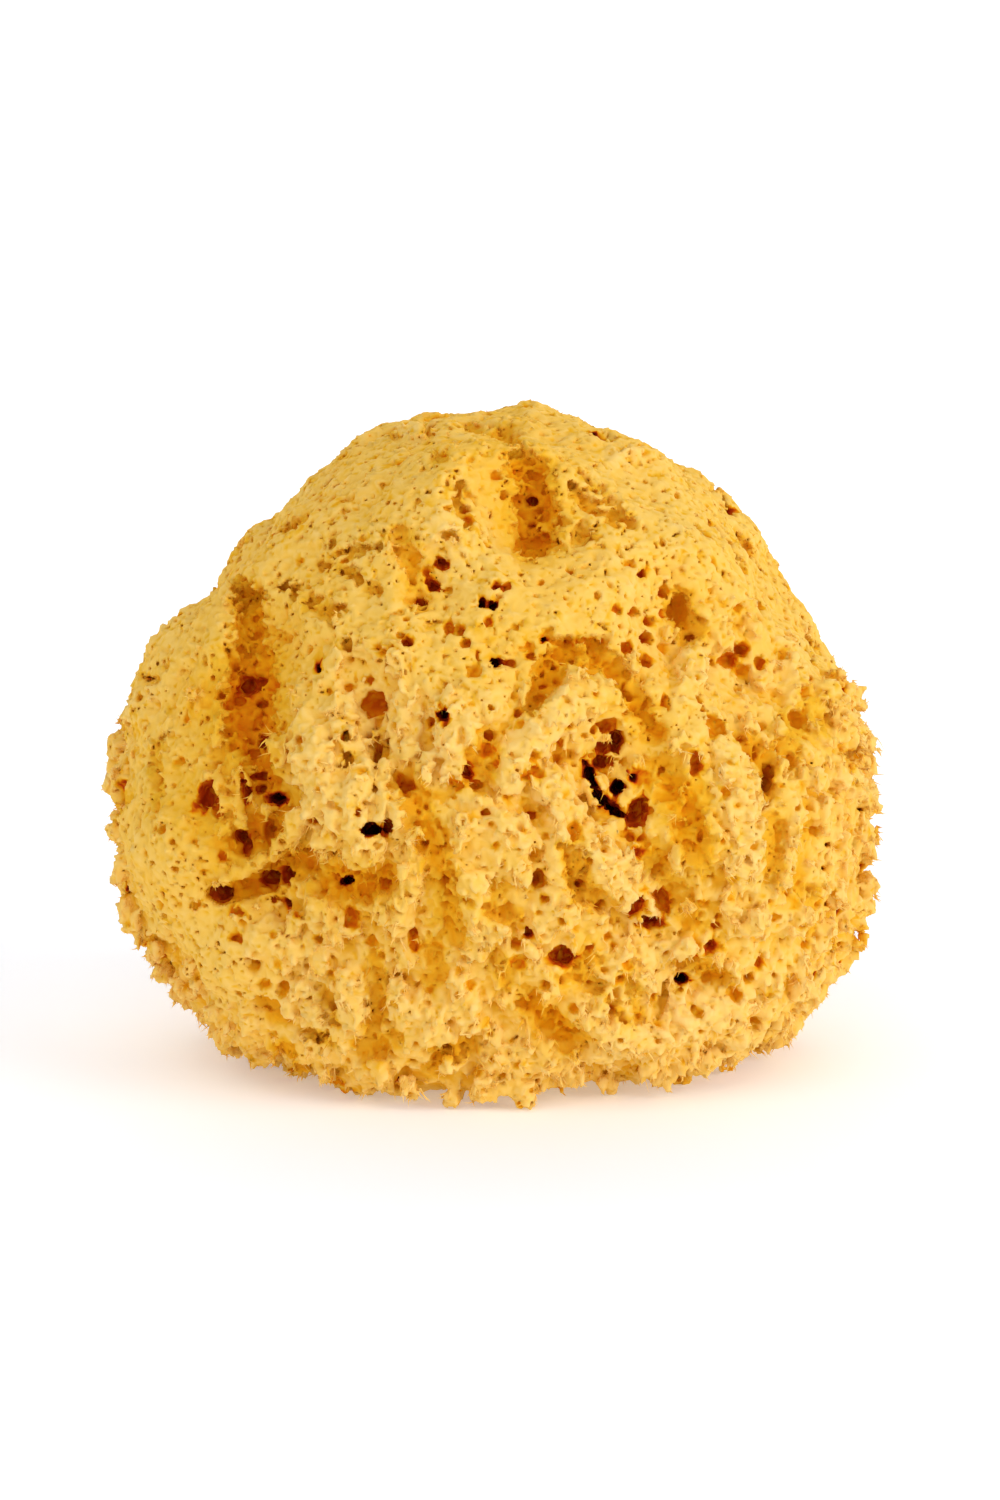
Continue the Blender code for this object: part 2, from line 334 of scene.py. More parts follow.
for middle, (_, _, radius, rise) in zip(relief_middles, RELIEF_SPOTS):
    relief = relief - rise * MM * np.exp(-((hull_spots - middle) ** 2).sum(axis=1) / (radius * PIXEL) ** 2)
start_shape = (hull.ravel() + np.where(near_skin, relief, 0)).reshape(hull.shape).astype(np.float32)
low = hull_points.min(0) - AIR
high = hull_points.max(0) + AIR
low[2] = -1.5 * MM
clay, clay_first = finer(start_shape, low, high)
# painted shade and glow for the walls of holes, valleys and pores, from 0 to 1
painted_recess_shade = np.zeros(clay.shape, np.float32)
report("clay spots:", clay.size)

# %% [markdown]
# ## Tools for the clay
#
# Three tools are enough: one that lays a rounded stroke along a line, one that carves such a stroke
# out, and one that digs a hole in from a mouth. Each works only on the small part of the block that
# it touches, and each adds some felt to its own distance, so that no edge comes out clean.

# %% Sculpting tools


def soft_min(a, b, blend):
    """The smaller of two distances, rounded where they are close."""
    near = np.maximum(blend - np.abs(a - b), 0)
    return np.minimum(a, b) - near * near / (4 * blend)


def felt_at(block, where):
    """The piece of a felt block that lies over a piece of the clay."""
    index = [
        (np.arange(part.start, part.stop) + first) % FELT_SPOTS for part, first in zip(where, clay_first)
    ]
    return block[np.ix_(*index)]


def part_of_clay(middle, reach, origin):
    """The part of the clay round a point, and where its spots are as seen from the origin."""
    start = np.maximum(np.floor((middle - reach) / STEP).astype(int) - clay_first, 0)
    stop = np.minimum(np.ceil((middle + reach) / STEP).astype(int) + 1 - clay_first, clay.shape)
    where = tuple(slice(int(a), int(b)) for a, b in zip(start, np.maximum(stop, start)))
    places = [
        ((np.arange(part.start, part.stop) + first) * STEP - centre).astype(np.float32)
        for part, first, centre in zip(where, clay_first, origin)
    ]
    return where, np.meshgrid(*places, indexing="ij", sparse=True)


def stroke(start, end, wide, tip, blend, block=None, rough=0.25 * MM, colour=None):
    """Lay a tapered stroke of clay between two points, or carve it out and paint shade on its walls if it has
    a colour.
    """
    axis = end - start
    length = max(float(np.linalg.norm(axis)), 1e-6)
    axis = axis / length
    reach = length / 2 + max(wide, tip) + blend + 3 * abs(rough) + STEP
    where, (x, y, z) = part_of_clay((start + end) / 2, reach, start)
    along = np.clip((x * axis[0] + y * axis[1] + z * axis[2]) / length, 0, 1)
    height = along * length
    off = np.sqrt((x - height * axis[0]) ** 2 + (y - height * axis[1]) ** 2 + (z - height * axis[2]) ** 2)
    shape = off - (wide + (tip - wide) * along) + rough * felt_at(felt if block is None else block, where)
    if colour is None:
        clay[where] = soft_min(clay[where], shape, blend)
    else:
        # the carved walls get painted shade
        painted_recess_shade[where] = np.maximum(painted_recess_shade[where], colour * smooth_step(-shape, -2.0 * MM, 0.5 * MM))
        clay[where] = -soft_min(-clay[where], shape, blend)


def dig_hole(mouth, inward, sideways, wide, high, depth, colour, rng, rough=0.28 * MM, blend=0.3 * MM):
    """Dig a hole with some corners that narrows and bends as it goes in, and paint shade on its walls."""
    upward = np.cross(inward, sideways)
    reach = depth / 2 + max(wide, high) * 0.7 + 2 * MM
    where, (x, y, z) = part_of_clay(mouth + inward * depth / 2, reach, mouth)
    down = x * inward[0] + y * inward[1] + z * inward[2]
    share = np.clip(down / depth, 0, 1)
    bend = rng.uniform(-0.25, 0.25, 2) * depth
    across = x * sideways[0] + y * sideways[1] + z * sideways[2] - bend[0] * share * share
    up = x * upward[0] + y * upward[1] + z * upward[2] - bend[1] * share * share
    across, up = 2 * across / wide, 2 * up / high
    shape = np.sqrt(across * across + up * up)
    if wide > 1.2 * MM:
        turn = rng.uniform(0, 2 * math.pi)
        for corner in range(5):
            angle = turn + (corner + rng.uniform(-0.25, 0.25)) * 2 * math.pi / 5
            side = (across * math.cos(angle) + up * math.sin(angle)) * rng.uniform(1.05, 1.3)
            shape = np.maximum(shape * 0.985, side)
    width = 1 + 0.15 * share - 0.75 * share * share
    shape = (shape - width) * min(wide, high) / 2
    shape = np.maximum(shape, np.maximum(down - depth, -down - 2.0 * MM))
    shape = shape + rough * felt_at(felt, where)
    # painted shade on the hole's walls, from just inside its mouth
    walls = smooth_step(-shape, -0.6 * MM, -0.1 * MM) * smooth_step(down, -0.2 * MM, 0.9 * MM)
    painted_recess_shade[where] = np.maximum(painted_recess_shade[where], colour * walls)
    clay[where] = -soft_min(-clay[where], shape, blend)


def skin_on_line(starts, ways, reach=14 * MM):
    """Where lines first enter the clay, each from its start along its way; and which ones do."""
    travel = np.arange(0, reach, STEP / 2)
    spots = starts[:, None, :] + ways[:, None, :] * travel[None, :, None]
    gaps = sample(clay, clay_first, STEP, spots.reshape(-1, 3)).reshape(len(starts), -1)
    inside = gaps < 0
    found = inside.any(axis=1)
    return spots[np.arange(len(starts)), inside.argmax(axis=1)], found


# %% [markdown]
# ## Where things go
#
# Seeds are strewn over the hull like darts, and a dart too close to one that already sticks is thrown
# away. That gives the even but never regular spacing that living things have.

# %% Strewing
DOWN = np.array((0.0, 0.0, -1.0))


def above_floor(points):
    """Leaves the flat cut underneath alone."""
    return points[:, 2] > 0.8 * MM


def strew(spacing_of, throws, seed, keep=above_floor):
    """Points on the hull, each at least its own spacing from the others."""
    rng = np.random.default_rng(seed)
    corners = hull_points[hull_quads]
    sides = np.cross(corners[:, 2] - corners[:, 0], corners[:, 3] - corners[:, 1])
    area = np.linalg.norm(sides, axis=1)
    face = rng.choice(len(area), throws, p=area / area.sum())
    u, v = rng.random((2, throws, 1))
    top = corners[face, 0] * (1 - u) + corners[face, 1] * u
    bottom = corners[face, 3] * (1 - u) + corners[face, 2] * u
    darts = top * (1 - v) + bottom * v
    darts = darts[keep(darts)]
    spacing = spacing_of(darts)
    cell = float(spacing.max())
    homes = np.floor(darts / cell).astype(int)
    grid = {}
    stuck = []
    for number, (dart, home, room) in enumerate(zip(darts.tolist(), homes.tolist(), spacing.tolist())):
        near = [
            other
            for dx in (-1, 0, 1) for dy in (-1, 0, 1) for dz in (-1, 0, 1)
            for other in grid.get((home[0] + dx, home[1] + dy, home[2] + dz), ())
        ]
        if all(math.dist(dart, other) > room for other in near):
            grid.setdefault(tuple(home), []).append(dart)
            stuck.append(number)
    return darts[stuck]


# %% [markdown]
# ## Forms that the photograph shows
#
# Between the broad lobes and the fine tufts there are forms a thumb's width across: pale tongues and
# ridges of matted fibre, and ochre valleys between them. They are read off the photograph as lines
# of pixels, with a width and a height over the hull or a depth under it, in millimetres. The masses
# come first, each laid as rounded strokes from one pixel of its line to the next.

# %% Masses and valleys in the front
# crest over the hull in mm, width at the start and at the end in pixels, then column, row pairs
MASSES = (
    (0.9, 34, 44, (600, 690), (560, 712), (530, 745), (508, 775)),
    (0.8, 40, 30, (560, 785), (572, 812), (568, 835)),
    (0.5, 40, 56, (590, 835), (606, 868), (628, 895)), (1.0, 34, 24, (628, 895), (650, 913)),
    (0.6, 40, 46, (735, 745), (745, 800), (752, 870)),
    (0.5, 40, 46, (296, 700), (304, 760), (318, 800)), (1.0, 34, 22, (362, 765), (350, 800), (332, 822)),
    (0.7, 30, 26, (345, 705), (352, 760)), (0.6, 26, 30, (402, 700), (400, 745)),
    (0.8, 44, 40, (452, 715), (455, 765)), (0.9, 26, 20, (408, 790), (396, 815)),
    (1.1, 40, 44, (352, 828), (358, 862)), (1.2, 16, 20, (310, 808), (274, 850)),
    (1.3, 20, 16, (274, 850), (250, 872), (222, 884)), (0.9, 16, 12, (208, 776), (226, 800), (246, 830)),
    (1.0, 24, 32, (412, 868), (392, 925)), (0.8, 26, 22, (318, 908), (345, 928)),
    (0.8, 22, 26, (330, 842), (318, 838)), (0.6, 30, 36, (480, 805), (515, 835)),
    (0.7, 26, 22, (560, 858), (572, 895)), (0.6, 34, 40, (470, 885), (480, 935)),
    (0.6, 30, 40, (455, 985), (470, 1025)), (0.6, 40, 40, (345, 985), (350, 1030)),
    (0.5, 40, 46, (400, 1010), (440, 1040)), (0.5, 40, 40, (300, 1000), (330, 1040)),
    (0.9, 44, 44, (498, 1060), (545, 1062)), (0.6, 46, 46, (585, 1015), (615, 1035)),
    (0.6, 44, 44, (690, 1025), (740, 1015)), (0.5, 34, 34, (540, 935), (560, 905)),
    (0.5, 34, 34, (250, 935), (285, 950)), (0.5, 30, 34, (620, 1045), (665, 1040)),
    (0.5, 44, 44, (445, 535), (460, 540)), (0.5, 30, 26, (150, 640), (175, 620)),
    (0.7, 22, 8, (152, 690), (122, 716)), (0.4, 24, 20, (405, 425), (425, 428)),
    (0.6, 20, 14, (846, 712), (872, 742)), (0.6, 24, 22, (846, 775), (872, 796)),
    (0.5, 20, 24, (225, 585), (236, 600)), (0.4, 24, 24, (620, 450), (662, 455)),
    (0.5, 34, 30, (790, 640), (800, 680)), (0.5, 26, 26, (700, 640), (690, 690)),
)
# depth under the hull in mm, width in pixels, painted shade of the walls, then column, row pairs
VALLEYS = (
    (3.6, 20, 0.34, (536, 702), (548, 668), (562, 650), (600, 648), (622, 672), (640, 700), (652, 732)),
    (4.6, 34, 0.36, (530, 472), (532, 505), (535, 540)), (3.0, 20, 0.30, (500, 425), (520, 455), (530, 475)),
    (4.0, 26, 0.36, (240, 560), (246, 600), (250, 640)), (5.0, 44, 0.40, (250, 655), (248, 690), (250, 730)),
    (4.4, 26, 0.40, (258, 745), (262, 785)), (4.2, 26, 0.38, (285, 820), (262, 838), (240, 845)),
    (4.0, 24, 0.38, (300, 858), (270, 878), (225, 893)), (3.4, 30, 0.34, (320, 880), (350, 890), (380, 880)),
    (2.4, 6, 0.28, (325, 538), (355, 549), (395, 548)), (2.4, 6, 0.28, (318, 562), (350, 573), (372, 588)),
    (2.6, 8, 0.30, (276, 578), (305, 600), (330, 606), (343, 640)), (2.4, 5, 0.26, (250, 620), (285, 640)),
    (2.6, 6, 0.36, (460, 482), (464, 505), (472, 524)), (2.4, 7, 0.28, (565, 472), (590, 500), (618, 520)),
    (2.2, 7, 0.26, (585, 468), (612, 492), (632, 520)), (2.4, 9, 0.28, (545, 510), (590, 535)),
    (2.4, 14, 0.30, (395, 530), (412, 560), (420, 600)), (3.0, 24, 0.36, (682, 605), (692, 632)),
    (3.2, 16, 0.38, (742, 738), (768, 752), (774, 790)), (3.0, 30, 0.32, (664, 770), (690, 810), (700, 860)),
    (3.6, 22, 0.36, (530, 1008), (556, 1030), (572, 1046)),
    (2.6, 8, 0.34, (592, 985), (612, 1005), (630, 1034)),
    (3.2, 22, 0.34, (405, 775), (422, 815), (430, 850)), (3.0, 20, 0.33, (430, 850), (445, 890), (452, 940)),
    (2.8, 9, 0.36, (376, 735), (378, 770)), (2.6, 10, 0.34, (347, 718), (350, 762)),
    (2.8, 12, 0.35, (374, 960), (376, 1010), (368, 1045)), (2.8, 10, 0.35, (323, 1000), (335, 1022)),
    (3.0, 20, 0.34, (572, 855), (580, 890), (605, 908)), (3.0, 16, 0.34, (655, 862), (680, 905), (690, 925)),
    (3.0, 24, 0.35, (485, 750), (480, 775)), (3.0, 16, 0.33, (495, 915), (515, 920)),
    (2.6, 16, 0.33, (780, 815), (778, 870)), (2.8, 22, 0.33, (800, 720), (795, 745)),
    (2.4, 14, 0.30, (150, 745), (150, 800)), (2.6, 16, 0.34, (590, 960), (575, 985)),
    (3.0, 14, 0.36, (262, 1010), (278, 1022)), (2.8, 14, 0.35, (310, 1036), (330, 1040)),
    (2.8, 18, 0.35, (365, 1055), (390, 1040)), (3.4, 14, 0.40, (440, 1078), (444, 1062)),
    (2.6, 14, 0.32, (430, 950), (436, 985)), (2.6, 12, 0.33, (500, 965), (505, 990)),
    (2.8, 16, 0.35, (470, 1050), (440, 1055)), (2.4, 10, 0.3, (640, 990), (650, 1015)),
    (2.6, 26, 0.32, (820, 700), (830, 720)), (2.4, 16, 0.30, (810, 880), (825, 905)),
    (3.6, 18, 0.36, (690, 970), (724, 984)),
)


laid = {True: [], False: []}           # strokes so far, laid ones and carved ones, for the colouring


def lay_line(crest, wide_start, wide_end, line, blend, block, rough, colour=None):
    """Lay or carve strokes along a line of pixels, their tops or bottoms at one height over the hull."""
    middles, _ = on_hull(line)
    outs = outward_at(middles)
    widths = np.linspace(wide_start, wide_end, len(line)) * PIXEL / 2
    side = -1 if colour is None else 1
    middles = middles + outs * (crest * MM + side * widths[:, None])
    for n in range(len(line) - 1):
        stroke(middles[n], middles[n + 1], widths[n], widths[n + 1], blend, block, rough, colour)
        laid[colour is None].append((middles[n], middles[n + 1], widths[n]))


for crest, wide_start, wide_end, *line in MASSES:
    lay_line(crest - 0.3, wide_start, wide_end, line, 0.8 * MM, ragged, 0.4 * MM)
report("masses:", len(MASSES))

# %% [markdown]
# ## Masses between the masses
#
# The photograph's own tongues are only the largest. Smaller ones fill the rest of the shaggy skin, a
# little over half a centimetre apart, and the sides that it doesn't show are all made of them. Each
# hangs down along the skin.

# %% Strewn masses


def behind(points):
    """True for points that the camera can't see."""
    return (outward_at(points) @ np.array(look) > -0.25) & above_floor(points)


mass_rng = np.random.default_rng(21)
mass_roots = strew(
    lambda p: np.full(len(p), 6.5 * MM), 6000, 22, lambda p: above_floor(p) & (shagginess(p) > 0.4))
mass_outs = outward_at(mass_roots)
seen = ~behind(mass_roots)
for root, out, hidden in zip(mass_roots, mass_outs, ~seen):
    size = mass_rng.uniform(0.8, 1.25) * (1.0 if hidden else 0.7)
    wide = 2.3 * size * MM
    crest = root + out * (mass_rng.uniform(-0.6, 0.2) * MM - wide)
    along = unit(DOWN - out * DOWN.dot(out) + mass_rng.normal(size=3) * 0.3)
    top = crest - along * 1.5 * size * MM
    foot = crest + along * 2.0 * size * MM + out * 0.4 * MM
    stroke(top, foot, wide, wide * 0.8, 0.7 * MM, combed, 0.3 * MM)
report("strewn masses:", len(mass_roots))

# %% [markdown]
# ## Valleys
#
# Where two lobes grew against each other they left a valley. Carved after the masses, it cuts
# between them, and its walls are painted a shaded ochre. The sides that the camera can't see get shorter
# folds.

# %% Carve the valleys
for depth, wide, colour, *line in VALLEYS:
    lay_line(-depth, wide, wide, line, 2.0 * MM, ragged, min(0.6, 0.08 * wide) * MM, colour)
fold_rng = np.random.default_rng(23)
fold_roots = strew(lambda p: np.full(len(p), 15 * MM), 2000, 24, behind)
for root, out in zip(fold_roots, outward_at(fold_roots)):
    along = unit(np.cross(out, fold_rng.normal(size=3)))
    wide = fold_rng.uniform(0.8, 2.4) * MM
    bottom = root + out * (wide - fold_rng.uniform(2.6, 4.2) * MM)
    half = along * fold_rng.uniform(3, 7) * MM
    # painted shade of the fold's walls
    colour = fold_rng.uniform(0.28, 0.38)
    stroke(bottom - half, bottom + half, wide, wide * 0.7, 2.0 * MM, ragged, 0.5 * MM, colour)
report("valleys:", len(VALLEYS), "and behind:", len(fold_roots))

# %% [markdown]
# ## Tufts
#
# Over all of this grow small tufts, standing on whatever surface is there by now. On the velvet they
# are only grains; on the shaggy parts they droop and end in a ragged tip.

# %% Grow the tufts
tuft_rng = np.random.default_rng(25)
tuft_roots = strew(lambda p: (2.0 + 0.1 * shagginess(p)) * MM, 30000, 26,
                   lambda p: above_floor(p) & (shagginess(p) > 0.12))
tuft_outs = outward_at(tuft_roots)
tuft_roots, found = skin_on_line(tuft_roots + tuft_outs * 2.0 * MM, -tuft_outs, 7 * MM)
tuft_roots, tuft_outs = tuft_roots[found], tuft_outs[found]
tuft_shag = shagginess(tuft_roots)
tuft_ways = unit(tuft_outs * (1 - 0.35 * tuft_shag[:, None]) + DOWN * 0.6 * tuft_shag[:, None]
                 + tuft_rng.normal(size=tuft_roots.shape) * 0.25)
for root, way, shag in zip(tuft_roots, tuft_ways, tuft_shag):
    size = tuft_rng.uniform(0.7, 1.25)
    wide = (0.45 + 0.25 * shag) * size * MM
    length = (0.25 + 0.6 * shag) * size * MM
    stroke(root - way * 0.5 * MM, root + way * length, wide, wide * 0.4, 0.5 * MM, combed, 0.15 * MM)
report("tufts:", len(tuft_roots))

# %% [markdown]
# ## Strands and pores
#
# The nap of the shaggy parts is combed into strands that hang down. The velvet is stippled with fine
# pores, about two millimetres apart. Both come from the line blocks: the strands are raised along
# their lines, and a pore is opened wherever a fine channel meets the skin.

# %% Comb the strands and open the pores
PORE_DEPTH = 1.25 * MM
everywhere = tuple(slice(0, n) for n in clay.shape)
shag_block, _ = finer(hull_shag.reshape(hull.shape), low, high)
clay += 0.09 * MM * felt_at(terraced, everywhere)
clay -= 0.50 * MM * (0.15 + 0.85 * shag_block) * np.maximum(0.75 - felt_at(strands, everywhere), 0)
pores = 0.56 - 0.26 * shag_block + 0.13 * felt_at(ragged, everywhere) - felt_at(channels, everywhere)
pores = np.minimum(pores / 1.7 * MM, clay + PORE_DEPTH)
np.maximum(clay, pores, out=clay)
# painted shade down the fine pores
np.maximum(painted_recess_shade, 0.40 * np.clip(pores / (0.3 * MM) + 0.6, 0, 1), out=painted_recess_shade)
del pores
report("strands and pores")

# %% [markdown]
# ## The holes that the photograph shows
#
# Holes are read off the photograph as a middle, a width and a height in its pixels, and a kind that
# says how deep they go and how their walls are painted, orange for the light that comes through the
# fibre and darker for shade: a pale hollow is shallow, a red one is deeper, and a black one runs far
# in. Each is dug where the camera's line through that pixel meets the clay.

# %% Holes in the front
# depth in millimetres and painted shade of the walls, for each kind
PALE, ORANGE, RED, DARK, BLACK = (1.0, 0.40), (1.6, 0.50), (2.4, 0.62), (3.6, 0.75), (8.0, 1.0)
# column, row, width, height, kind, turn in degrees
FRONT_HOLES = (
    # crown
    (400, 463, 20, 8, ORANGE, 20), (466, 510, 7, 7, RED, 0), (471, 519, 6, 6, RED, 0),
    (515, 498, 11, 6, RED, -10), (532, 501, 11, 11, DARK, 0), (532, 476, 12, 9, ORANGE, 0),
    (496, 476, 11, 9, ORANGE, 0), (534, 541, 30, 15, ORANGE, 0), (520, 541, 9, 9, RED, 0),
    (545, 536, 9, 8, RED, 0), (532, 525, 8, 7, RED, 0), (448, 535, 12, 8, PALE, 0),
    (442, 564, 14, 12, DARK, 30), (433, 584, 18, 11, DARK, 40), (421, 602, 13, 7, DARK, 10),
    (427, 572, 9, 9, RED, 0), (448, 590, 8, 6, ORANGE, 0),
    # upper middle
    (482, 603, 8, 10, BLACK, 0), (493, 606, 9, 10, BLACK, 30), (496, 585, 9, 8, DARK, 0),
    (507, 587, 13, 8, RED, -20), (488, 620, 8, 11, RED, 0), (449, 627, 8, 12, RED, 0),
    (458, 630, 11, 10, RED, 0), (466, 643, 11, 9, RED, 0), (477, 653, 5, 8, RED, 0),
    (474, 670, 13, 13, ORANGE, 0), (496, 662, 11, 9, BLACK, 0), (510, 664, 12, 9, RED, 0),
    (530, 646, 9, 9, ORANGE, 0), (531, 656, 10, 8, RED, 0), (543, 640, 5, 5, BLACK, 0),
    (567, 641, 6, 7, RED, 0), (579, 641, 5, 6, RED, 0), (585, 640, 6, 6, RED, 0),
    (602, 642, 5, 6, RED, 0), (553, 668, 8, 5, RED, 0), (541, 699, 8, 7, ORANGE, 0),
    (544, 687, 9, 4, RED, 0), (590, 671, 10, 9, ORANGE, 0), (407, 641, 12, 11, DARK, 0),
    (402, 634, 7, 6, RED, 0), (377, 647, 7, 6, RED, 0), (389, 646, 7, 6, RED, 0),
    (350, 687, 10, 8, ORANGE, 0), (370, 681, 8, 9, RED, 0), (375, 704, 28, 23, RED, -15),
    (319, 670, 4, 9, BLACK, 0), (441, 705, 7, 6, RED, 0), (443, 716, 10, 10, BLACK, 0),
    (430, 722, 8, 13, RED, 10), (489, 735, 11, 11, RED, 0), (489, 749, 12, 13, RED, 0),
    (519, 713, 8, 7, RED, 0), (520, 724, 10, 9, ORANGE, 0), (560, 743, 6, 11, RED, 20),
    (536, 758, 11, 12, ORANGE, 0), (557, 759, 9, 11, ORANGE, 0), (536, 771, 18, 9, RED, 20),
    (524, 777, 10, 6, RED, 0), (468, 773, 11, 15, DARK, 10), (476, 785, 12, 9, RED, 0),
    (456, 783, 14, 8, RED, 20), (497, 764, 7, 12, RED, 0),
    # upper right
    (631, 563, 11, 7, RED, -15), (643, 573, 11, 7, DARK, -25), (663, 592, 12, 11, RED, 0),
    (712, 523, 9, 8, ORANGE, 0), (704, 533, 12, 8, RED, 0), (618, 608, 9, 7, RED, 0),
    (634, 612, 12, 8, RED, 0), (649, 622, 13, 10, RED, 0), (663, 614, 11, 7, RED, 0),
    (645, 638, 15, 13, RED, 0), (627, 647, 12, 12, RED, 0), (645, 659, 16, 15, RED, 0),
    (678, 613, 20, 32, ORANGE, 10), (745, 571, 12, 9, ORANGE, 0), (740, 608, 12, 9, ORANGE, 0),
    (759, 604, 22, 12, ORANGE, -15), (729, 661, 19, 16, RED, 0), (741, 650, 17, 14, RED, 0),
    (742, 670, 14, 12, ORANGE, 0), (761, 664, 11, 12, RED, 0), (665, 701, 7, 11, RED, 0),
    (717, 725, 24, 20, ORANGE, 0), (761, 727, 11, 9, ORANGE, 0), (796, 718, 20, 18, ORANGE, 0),
    (740, 740, 10, 6, ORANGE, 0), (696, 764, 14, 20, RED, 20), (767, 778, 14, 27, RED, 5),
    (815, 831, 12, 11, ORANGE, 0), (714, 560, 8, 7, ORANGE, 0), (690, 640, 10, 9, ORANGE, 0),
    (700, 700, 9, 8, ORANGE, 0), (784, 655, 10, 9, ORANGE, 0), (806, 690, 12, 10, ORANGE, 0),
    (727, 790, 8, 12, ORANGE, 0), (790, 760, 9, 12, ORANGE, 0), (663, 650, 8, 9, ORANGE, 0),
    # the dark cluster right of the middle
    (608, 726, 19, 15, RED, 0), (616, 742, 14, 24, DARK, 10), (602, 750, 16, 14, DARK, 0),
    (604, 763, 20, 13, DARK, 0), (594, 731, 6, 9, RED, 0), (590, 775, 10, 28, BLACK, -22),
    (603, 798, 11, 32, BLACK, -45), (617, 812, 10, 20, BLACK, -60), (618, 787, 15, 14, BLACK, 0),
    (637, 780, 21, 20, RED, 0), (634, 777, 7, 8, BLACK, 0), (636, 812, 18, 30, DARK, 10),
    (642, 813, 13, 28, RED, 5), (630, 836, 10, 9, RED, 0), (642, 838, 10, 9, RED, 0),
    (641, 853, 12, 11, DARK, 0), (657, 871, 16, 12, ORANGE, 0), (575, 830, 14, 18, ORANGE, 20),
    # lower right
    (637, 908, 14, 26, DARK, 20), (650, 922, 26, 13, DARK, 10), (661, 902, 16, 26, RED, -20),
    (680, 979, 13, 12, BLACK, 0), (692, 962, 13, 11, DARK, 0), (710, 949, 13, 12, DARK, 0),
    (710, 977, 15, 13, ORANGE, 0), (760, 964, 10, 10, RED, 0), (748, 979, 12, 11, ORANGE, 0),
    (622, 981, 12, 11, ORANGE, 0), (629, 965, 10, 10, ORANGE, 0), (654, 997, 10, 9, ORANGE, 0),
    (639, 1019, 10, 9, ORANGE, 0), (753, 1021, 11, 13, ORANGE, 0), (562, 957, 22, 20, DARK, 10),
    (530, 933, 9, 13, DARK, -25), (517, 945, 10, 10, RED, 20), (517, 966, 13, 15, RED, 0),
    (538, 878, 13, 19, RED, 0), (532, 815, 11, 9, RED, 0), (485, 812, 9, 8, RED, 20),
    (579, 885, 7, 15, RED, 0), (600, 905, 12, 7, RED, -30), (716, 925, 10, 7, RED, 0),
    (735, 995, 12, 18, ORANGE, -30), (590, 950, 7, 13, RED, 15), (608, 936, 9, 8, ORANGE, 0),
    (545, 900, 8, 7, RED, 0), (785, 982, 9, 9, ORANGE, 0), (775, 918, 10, 8, ORANGE, 0),
    (805, 945, 12, 10, ORANGE, 0), (735, 880, 8, 8, ORANGE, 0), (818, 905, 8, 9, ORANGE, 0),
    (780, 850, 9, 9, ORANGE, 0), (700, 905, 9, 8, RED, 0), (610, 1010, 9, 9, ORANGE, 0),
    (575, 1010, 8, 10, ORANGE, 0), (700, 1015, 9, 9, ORANGE, 0), (545, 985, 10, 11, ORANGE, 0),
    # left lobe and the valley beside it
    (248, 686, 21, 19, DARK, 0), (262, 681, 13, 10, DARK, 0), (275, 684, 12, 9, RED, 0),
    (238, 701, 11, 10, RED, 0), (227, 705, 10, 9, RED, 0), (263, 704, 14, 9, RED, 0),
    (219, 697, 7, 6, RED, 0), (227, 721, 10, 9, ORANGE, 0), (227, 732, 10, 9, ORANGE, 0),
    (256, 728, 7, 6, RED, 0), (264, 743, 11, 14, DARK, 0), (255, 755, 12, 10, ORANGE, 0),
    (205, 795, 17, 30, DARK, 20), (217, 806, 16, 24, RED, -20), (275, 800, 17, 10, BLACK, 0),
    (260, 790, 8, 8, DARK, 0), (260, 778, 18, 7, DARK, 10), (244, 790, 7, 25, DARK, -10),
    (313, 820, 15, 8, RED, 0), (270, 832, 10, 13, RED, 0), (241, 836, 12, 15, DARK, 0),
    (248, 848, 10, 12, DARK, 0), (222, 856, 9, 9, RED, 0), (270, 879, 20, 16, DARK, 15),
    (287, 876, 18, 15, DARK, 10), (221, 893, 21, 19, DARK, 0), (371, 829, 18, 14, BLACK, -10),
    (387, 827, 12, 17, DARK, 0), (348, 880, 14, 9, BLACK, -15), (384, 884, 10, 13, RED, 0),
    (350, 921, 14, 19, RED, 10), (296, 914, 7, 8, RED, 0), (287, 903, 6, 13, DARK, -20),
    (274, 899, 9, 7, RED, 0), (237, 912, 13, 8, RED, 0), (234, 938, 14, 9, RED, 0),
    (371, 940, 11, 12, ORANGE, 0), (413, 933, 10, 11, RED, 0), (414, 947, 11, 12, RED, 0),
    (406, 784, 20, 13, RED, 25), (398, 776, 13, 9, ORANGE, 40), (357, 812, 7, 10, RED, 0),
    (378, 754, 7, 34, RED, 0), (349, 759, 7, 9, RED, 0), (346, 735, 6, 12, RED, 0),
    (265, 985, 11, 10, ORANGE, 0), (255, 967, 12, 10, ORANGE, 0), (285, 986, 10, 12, ORANGE, 0),
    (195, 905, 10, 9, ORANGE, 0), (175, 870, 9, 8, ORANGE, 0), (160, 830, 9, 9, ORANGE, 0),
    (180, 760, 10, 8, ORANGE, 0), (185, 720, 9, 8, ORANGE, 0), (160, 905, 9, 8, ORANGE, 0),
    (205, 660, 8, 7, ORANGE, 0), (240, 650, 8, 8, ORANGE, 0), (300, 740, 8, 9, ORANGE, 0),
    (320, 600, 9, 6, ORANGE, 0), (345, 560, 8, 5, ORANGE, 0), (300, 560, 8, 6, ORANGE, 0),
    (445, 880, 9, 9, RED, 0), (470, 905, 9, 11, ORANGE, 0), (430, 990, 9, 9, ORANGE, 0),
    (330, 975, 9, 10, ORANGE, 0), (470, 985, 8, 10, ORANGE, 0), (318, 940, 9, 9, ORANGE, 0),
)
# %% [markdown]
# Near the outline the sponge is thin, and a few holes run right through it: the white behind shows.
# They are dug along the line of sight, far enough to come out at the back.

